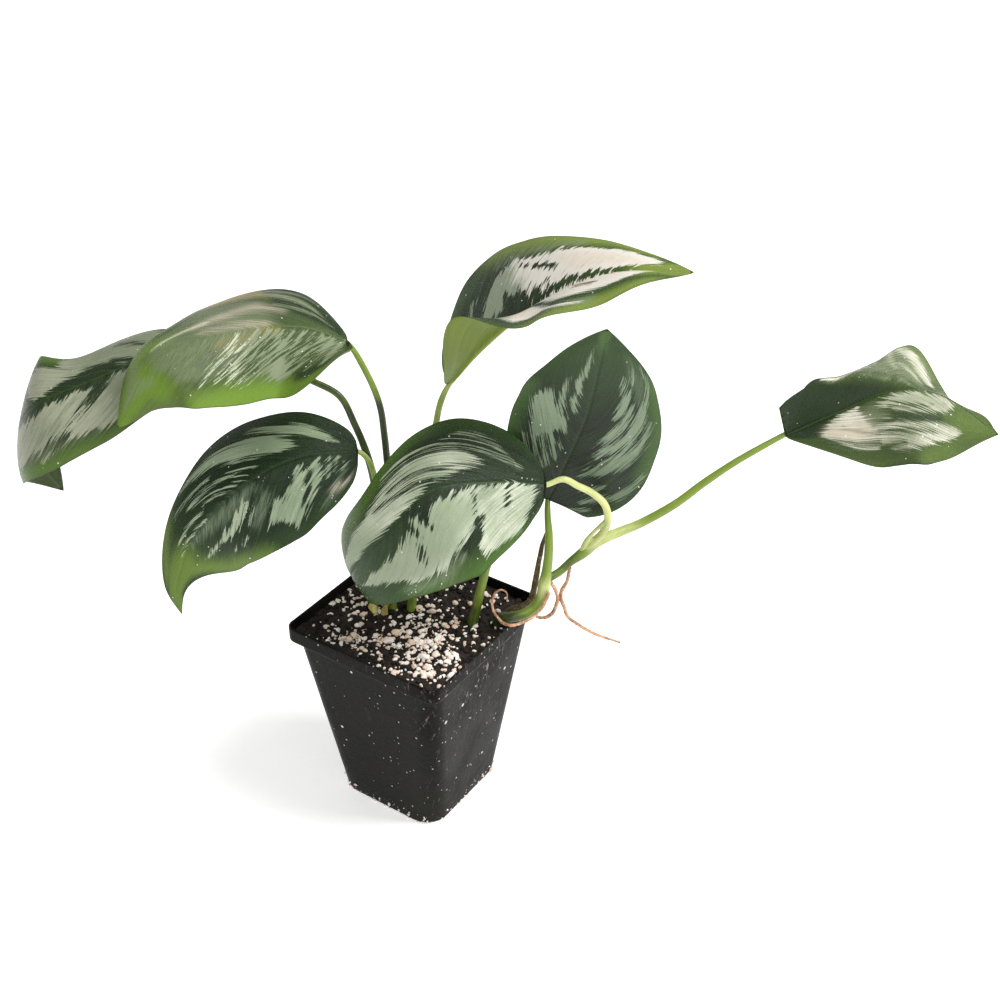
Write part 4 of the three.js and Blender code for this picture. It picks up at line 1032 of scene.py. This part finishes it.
# Pot: rings of a square with round corners
def round_square(half_side, corner, height=0.0, edge=8, steps=10):
    """A ring with points along its corners, and along its sides between them."""
    spot = (half_side - corner) * np.sqrt(2)

    def around(middle, angle):
        return np.stack([spot * np.cos(middle) + corner * np.cos(angle),
                         spot * np.sin(middle) + corner * np.sin(angle)], -1)

    ring = []
    for turn in range(4):
        angle = np.pi / 2 * turn + np.linspace(0, np.pi / 2, steps + 1)
        middle = np.pi / 4 + turn * np.pi / 2
        bend, next_bend = around(middle, angle), around(middle + np.pi / 2, angle[-1])
        share = np.linspace(0, 1, edge + 1)[1:-1, None]
        ring += [bend, bend[-1] * (1 - share) + next_bend * share]
    flat = np.vstack(ring)
    return np.hstack([flat, np.full((len(flat), 1), float(height))])


def between(low, high, count):
    """Numbers at even steps from one row to another."""
    return [[a + (b - a) * share for a, b in zip(low, high)] for share in np.linspace(0, 1, count)]


# Half a side, corner radius and height of each ring, from the underside, up the outside, over the
# rim and down the inside
POT_PROFILE = [
    (15.25, 6, 0), (28.365, 11.16, 0), (30, 11.6, 0.06), (30.4, 11.9, 0.5),
    *between((30.55, 12, 1), (42.5, 9.05, 98.4), 26),
    (42.65, 9, 98.85), (43.1, 8.4, 99.02), (44.4, 5.5, 99), (44.85, 5.1, 99.2), (45, 5, 99.7),
    *between((45, 5, 100.4), (45, 5, 106.2), 4),
    (44.93, 5, 106.65), (44.6, 4.7, 106.95), (44.2, 4.2, 106.95), (43.9, 3.9, 106.6),
    *between((43.8, 3.8, 106.2), (43.8, 3.8, 100.6), 3), (43.4, 4.6, 100.2),
    *between((41.4, 7.8, 100), (29.3, 10.8, 2.1), 8), (27.249, 10.044, 1.6), (14.65, 5.4, 1.6),
]
DRAINS = [(20, 20), (-20, 20), (-20, -20), (20, -20)]
DRAIN_RADIUS = 4


def pot_look():
    """Black plastic, with scratches and splashes on the side of +X, and a reddish-brown tint there
    that is partly dust and partly painted sheen, and dust everywhere.
    """
    look = Look("pot_black")
    broad, fine = look.noise(30.0, 4, 0.6), look.noise(420.0, 3, 0.6)
    side = look.add("ShaderNodeSeparateXYZ", {0: look.spot})
    height = side.out("Z")

    def drawn(scale, turn, bend=0.0):
        sockets = {"Vector": look.spot, "Scale": scale, "Rotation": turn}
        return look.noise(1.0, 3, 0.7, look.add("ShaderNodeMapping", sockets), bend)

    scratch = drawn((90, 90, 900), (0.35, 0.2, 0.3))
    scrape = drawn((340, 420, 120), (0.55, -0.4, 0.2), 1.2)
    # The side of +X: a reddish-brown tint on it is partly dust and partly painted sheen.
    facing = (side + broad * 0.01).ramp(0.032, 0.042)
    patchy = broad.ramp(0.45, 0.6, 0.25, 1.0) * facing.ramp(0.0, 1.0, 0.08, 1.0)
    patchy = patchy * height.ramp(0.05, 0.095, 0.3, 1.0)
    low = (height + fine * 0.006).ramp(0.012, 0.003)
    small = look.specks(420.0, 0.26, 0.3) * low.ramp(0.0, 1.0, 0.6, 1.0)
    dust = look.math("MAXIMUM", small, look.specks(700.0, 0.3, 0.6) * low)
    dust = look.math("MAXIMUM", dust, look.specks(150.0, 0.17, 0.2) * 0.95)
    shade = look.paint(
        (13, 13, 12), (broad.ramp(0.35, 0.7), (29, 27, 24)),
        (facing * broad.ramp(0.3, 0.6, 0.6, 1.0), (13, 7, 8)),
        # A faint green tint in broad patches is painted reflection of the leaves.
        (look.noise(24.0, 2).ramp(0.5, 0.7, 0.0, 0.5), (20, 25, 14)),
        (fine.ramp(0.55, 0.8, 0.0, 0.3), (40, 36, 33)),
        (scratch.ramp(0.66, 0.8, 0.0, 0.2), (70, 64, 60)),
        (scrape.ramp(0.57, 0.72) * patchy * 0.7, (176, 164, 158)), (dust, (212, 206, 196)))
    rough = (broad + dust * 0.4).ramp(0.3, 0.8, 0.34, 0.56)
    return look.finish(shade, rough, fine * 0.6 + scratch * 0.3 + dust * 1.2, 0.0003, 0.06)


def drill(piece, spots, radius, low, high):
    """Cuts upright round holes into a piece."""
    angles = np.linspace(0, 2 * np.pi, 28, endpoint=False)
    circle = radius * np.stack([np.cos(angles), np.sin(angles), 0 * angles], -1)
    skins = [loft([circle + [x, y, low], circle + [x, y, high]]) for x, y in spots]
    holes = plain("holes", *gather(skins))
    cut = piece.modifiers.new("holes", "BOOLEAN")
    cut.operation, cut.object, cut.solver = "DIFFERENCE", holes, "EXACT"
    graph = bpy.context.evaluated_depsgraph_get()
    result = bpy.data.meshes.new_from_object(piece.evaluated_get(graph))
    piece.modifiers.clear()
    piece.data = result
    bpy.data.objects.remove(holes)


skin = loft([round_square(*ring) for ring in POT_PROFILE])
drill(made("pot_shell", *skin, [pot_look()], "pot_plastic", ["pot"]), DRAINS, DRAIN_RADIUS, -1, 1.9)

# Soil: a crumbly surface in the pot
SOIL_TOP = 101.6
SOIL_LAYERS = 74


def crumbly(x, y):
    """Height of the soil's surface."""
    spot = np.stack([x, y, np.zeros_like(x)], -1)
    wave = 0.4 * (np.sin(x / 7 + 1) * np.cos(y / 9) + 0.6 * np.sin((x + 2 * y) / 5))
    lumps = 1 - np.abs(noise(spot, 3.2, 31, 3)) * 2.4
    grit = 0.7 * noise(spot, 9, 32) + 0.75 * lumps + 0.25 * noise(spot, 0.9, 33, 2)
    return SOIL_TOP + wave + grit


def soil_mesh(look):
    rings = [round_square(*ring, 96) for ring in
             ((29, 10.5, 2.2), (40.9, 7.6, 99.6), (43.0, 4.0, 100.4), (43.4, 3.6, 100.6))]
    for share in 1 - np.arange(SOIL_LAYERS) / (SOIL_LAYERS + 0.5):
        ring = round_square(43.4 * share, 3.6 * share, 0, 96)
        ring[:, 2] = crumbly(ring[:, 0], ring[:, 1])
        rings.append(ring)
    made("soil_top", *loft(rings), [look], "peat", ["soil"])


def peat_look():
    look = Look("peat")
    broad, fine = look.noise(220.0, 4, 0.65), look.noise(1100.0, 3, 0.65)
    shade = look.paint((24, 21, 19), (broad.ramp(0.35, 0.65), (48, 40, 35)),
                       (fine.ramp(0.55, 0.78, 0.0, 0.6), (48, 38, 30)))
    return look.finish(shade, fine.ramp(0.3, 0.8, 0.75, 0.95), broad + fine * 0.6, 0.0008, 0.25)


def grain_look(name, low, high):
    look = Look(name)
    fine = look.noise(1400.0, 3, 0.6)
    shade = look.paint(low, ((look.number("tone") + fine * 0.5).ramp(0.2, 1.2), high))
    rough = fine.ramp(0.3, 0.8, 0.7, 0.92)
    return look.finish(shade, rough, fine + look.cells(2200.0) * 0.6, 0.0003, 0.3)


def ball(level):
    """Points and faces of a ball made of triangles."""
    g = (1 + 5 ** 0.5) / 2
    verts = [(-1, g, 0), (1, g, 0), (-1, -g, 0), (1, -g, 0), (0, -1, g), (0, 1, g), (0, -1, -g),
             (0, 1, -g), (g, 0, -1), (g, 0, 1), (-g, 0, -1), (-g, 0, 1)]
    faces = [(0, 11, 5), (0, 5, 1), (0, 1, 7), (0, 7, 10), (0, 10, 11), (1, 5, 9), (5, 11, 4),
             (11, 10, 2), (10, 7, 6), (7, 1, 8), (3, 9, 4), (3, 4, 2), (3, 2, 6), (3, 6, 8),
             (3, 8, 9), (4, 9, 5), (2, 4, 11), (6, 2, 10), (8, 6, 7), (9, 8, 1)]
    verts = [np.array(v) / np.linalg.norm(v) for v in verts]
    for _ in range(level):
        middles, finer = {}, []
        for a, b, c in faces:
            edge = []
            for i, j in ((a, b), (b, c), (c, a)):
                key = (min(i, j), max(i, j))
                if key not in middles:
                    middles[key] = len(verts)
                    verts.append(unit(verts[i] + verts[j]))
                edge.append(middles[key])
            ab, bc, ca = edge
            finer += [(a, ab, ca), (b, bc, ab), (c, ca, bc), (ab, bc, ca)]
        faces = finer
    return np.array(verts), faces


def grains(name, look, spots, sizes, heights, level, seed, flat=0.75, lumpy=0.3):
    """Irregular grains, fused in one object. Each has its own size, turn and tone."""
    random = np.random.default_rng(seed)
    shape, faces = ball(level)
    skins, tones = [], []
    for (x, y), size, height in zip(spots, sizes, heights):
        body = shape * (1 + lumpy * noise(shape, 0.8, int(random.integers(1e6)), 2)[:, None])
        body = body * size * np.array([1, random.uniform(0.6, 1), flat * random.uniform(0.75, 1.1)])
        spin, tip = random.uniform(0, 2 * np.pi), random.uniform(-0.5, 0.5)
        turned = Matrix.Rotation(spin, 3, "Z") @ Matrix.Rotation(tip, 3, "X")
        skins.append((body @ np.array(turned).T + [x, y, height], faces))
        tones.append(np.full(len(shape), random.uniform(0, 1)))
    made(name, *gather(skins), [look], "peat", (), {"tone": np.concatenate(tones)})


soil_mesh(peat_look())

# Perlite: thin all over, with three heaps (middle, size across and along the photograph's view,
# and share)
HEAPS = ((17, -14, 12, 22, 1), (-8, -27, 15, 8, 0.4), (-34, -4, 11, 8, 0.35))
VIEW_AXES = np.array([[0.827, 0.562], [0.562, -0.827]])
PERLITE = grain_look("perlite_white", (228, 200, 178), (252, 246, 238))
PEAT_CRUMB = grain_look("peat_crumb", (11, 9, 8), (38, 29, 22))

random = np.random.default_rng(17)
spots = random.uniform(-41.5, 41.5, (6000, 2))
dense = np.full(len(spots), 0.13)
for x, y, wide, deep, share in HEAPS:
    apart = (spots - [x, y]) @ VIEW_AXES / [wide, deep]
    dense += share * np.exp(-(apart ** 2).sum(1))
keep = random.uniform(0, 1, len(spots)) < dense
spots = spots[keep & (np.abs(spots).sum(1) < 78)][:820]
sizes = random.uniform(0.4, 0.95, len(spots)) + 1.3 * random.uniform(0, 1, len(spots)) ** 4
heights = crumbly(spots[:, 0], spots[:, 1]) + 0.25 * sizes
grains("perlite", PERLITE, spots, sizes, heights, 2, 5, lumpy=0.42)

spots = random.uniform(-42, 42, (900, 2))
spots = spots[np.abs(spots).sum(1) < 79]
sizes = random.uniform(0.6, 1.8, len(spots))
heights = crumbly(spots[:, 0], spots[:, 1]) + 0.1 * sizes
grains("peat_crumbs", PEAT_CRUMB, spots, sizes, heights, 1, 6, flat=0.7, lumpy=0.5)

# White crumbs that cling to the foot of the pot
CRUMBS = 150
walk = round_square(30.6, 12, 0, 12)[:, :2]
spots = walk[random.integers(0, len(walk), CRUMBS)] + random.uniform(-0.3, 0.3, (CRUMBS, 2))
heights = 0.6 + 5.5 * random.uniform(0, 1, CRUMBS) ** 2.6
spots = spots * (1 + heights[:, None] * 0.004)
sizes = random.uniform(0.25, 0.6, CRUMBS) + 0.6 * random.uniform(0, 1, CRUMBS) ** 6
grains("pot_crumbs", PERLITE, spots, sizes, np.maximum(heights, sizes), 1, 8)

# Floor and soft light
bpy.ops.mesh.primitive_plane_add(size=60)
floor = bpy.context.object
floor.name = "floor"
pale = Look("floor_pale")
tint = pale.paint((243, 243, 242), (pale.noise(3.0), (248, 248, 247)))
floor.data.materials.append(pale.finish(tint, 0.8, pale.noise(900.0), 0.0001, 0.2,
                                        Emission_Color=(1, 1, 1, 1), Emission_Strength=0.4))

world = bpy.data.worlds.new("studio")
world.use_nodes = True
sky = world.node_tree.nodes["Background"].inputs
sky[0].default_value, sky[1].default_value = (1, 1, 1, 1), 0.45
bpy.context.scene.world = world


def lamp(name, place, aim, size, power):
    data = bpy.data.lights.new(name, "AREA")
    data.shape, data.size, data.energy = "SQUARE", size, power
    light = bpy.data.objects.new(name, data)
    light.location = place
    light.rotation_euler = (Vector(aim) - Vector(place)).to_track_quat("-Z", "Y").to_euler()
    bpy.context.scene.collection.objects.link(light)


lamp("key", (0.9, 0.5, 1.5), (0, 0, 0.15), 0.8, 33)
lamp("fill", (0.5, -1.05, 1.3), (0, 0, 0.15), 0.5, 6.5)
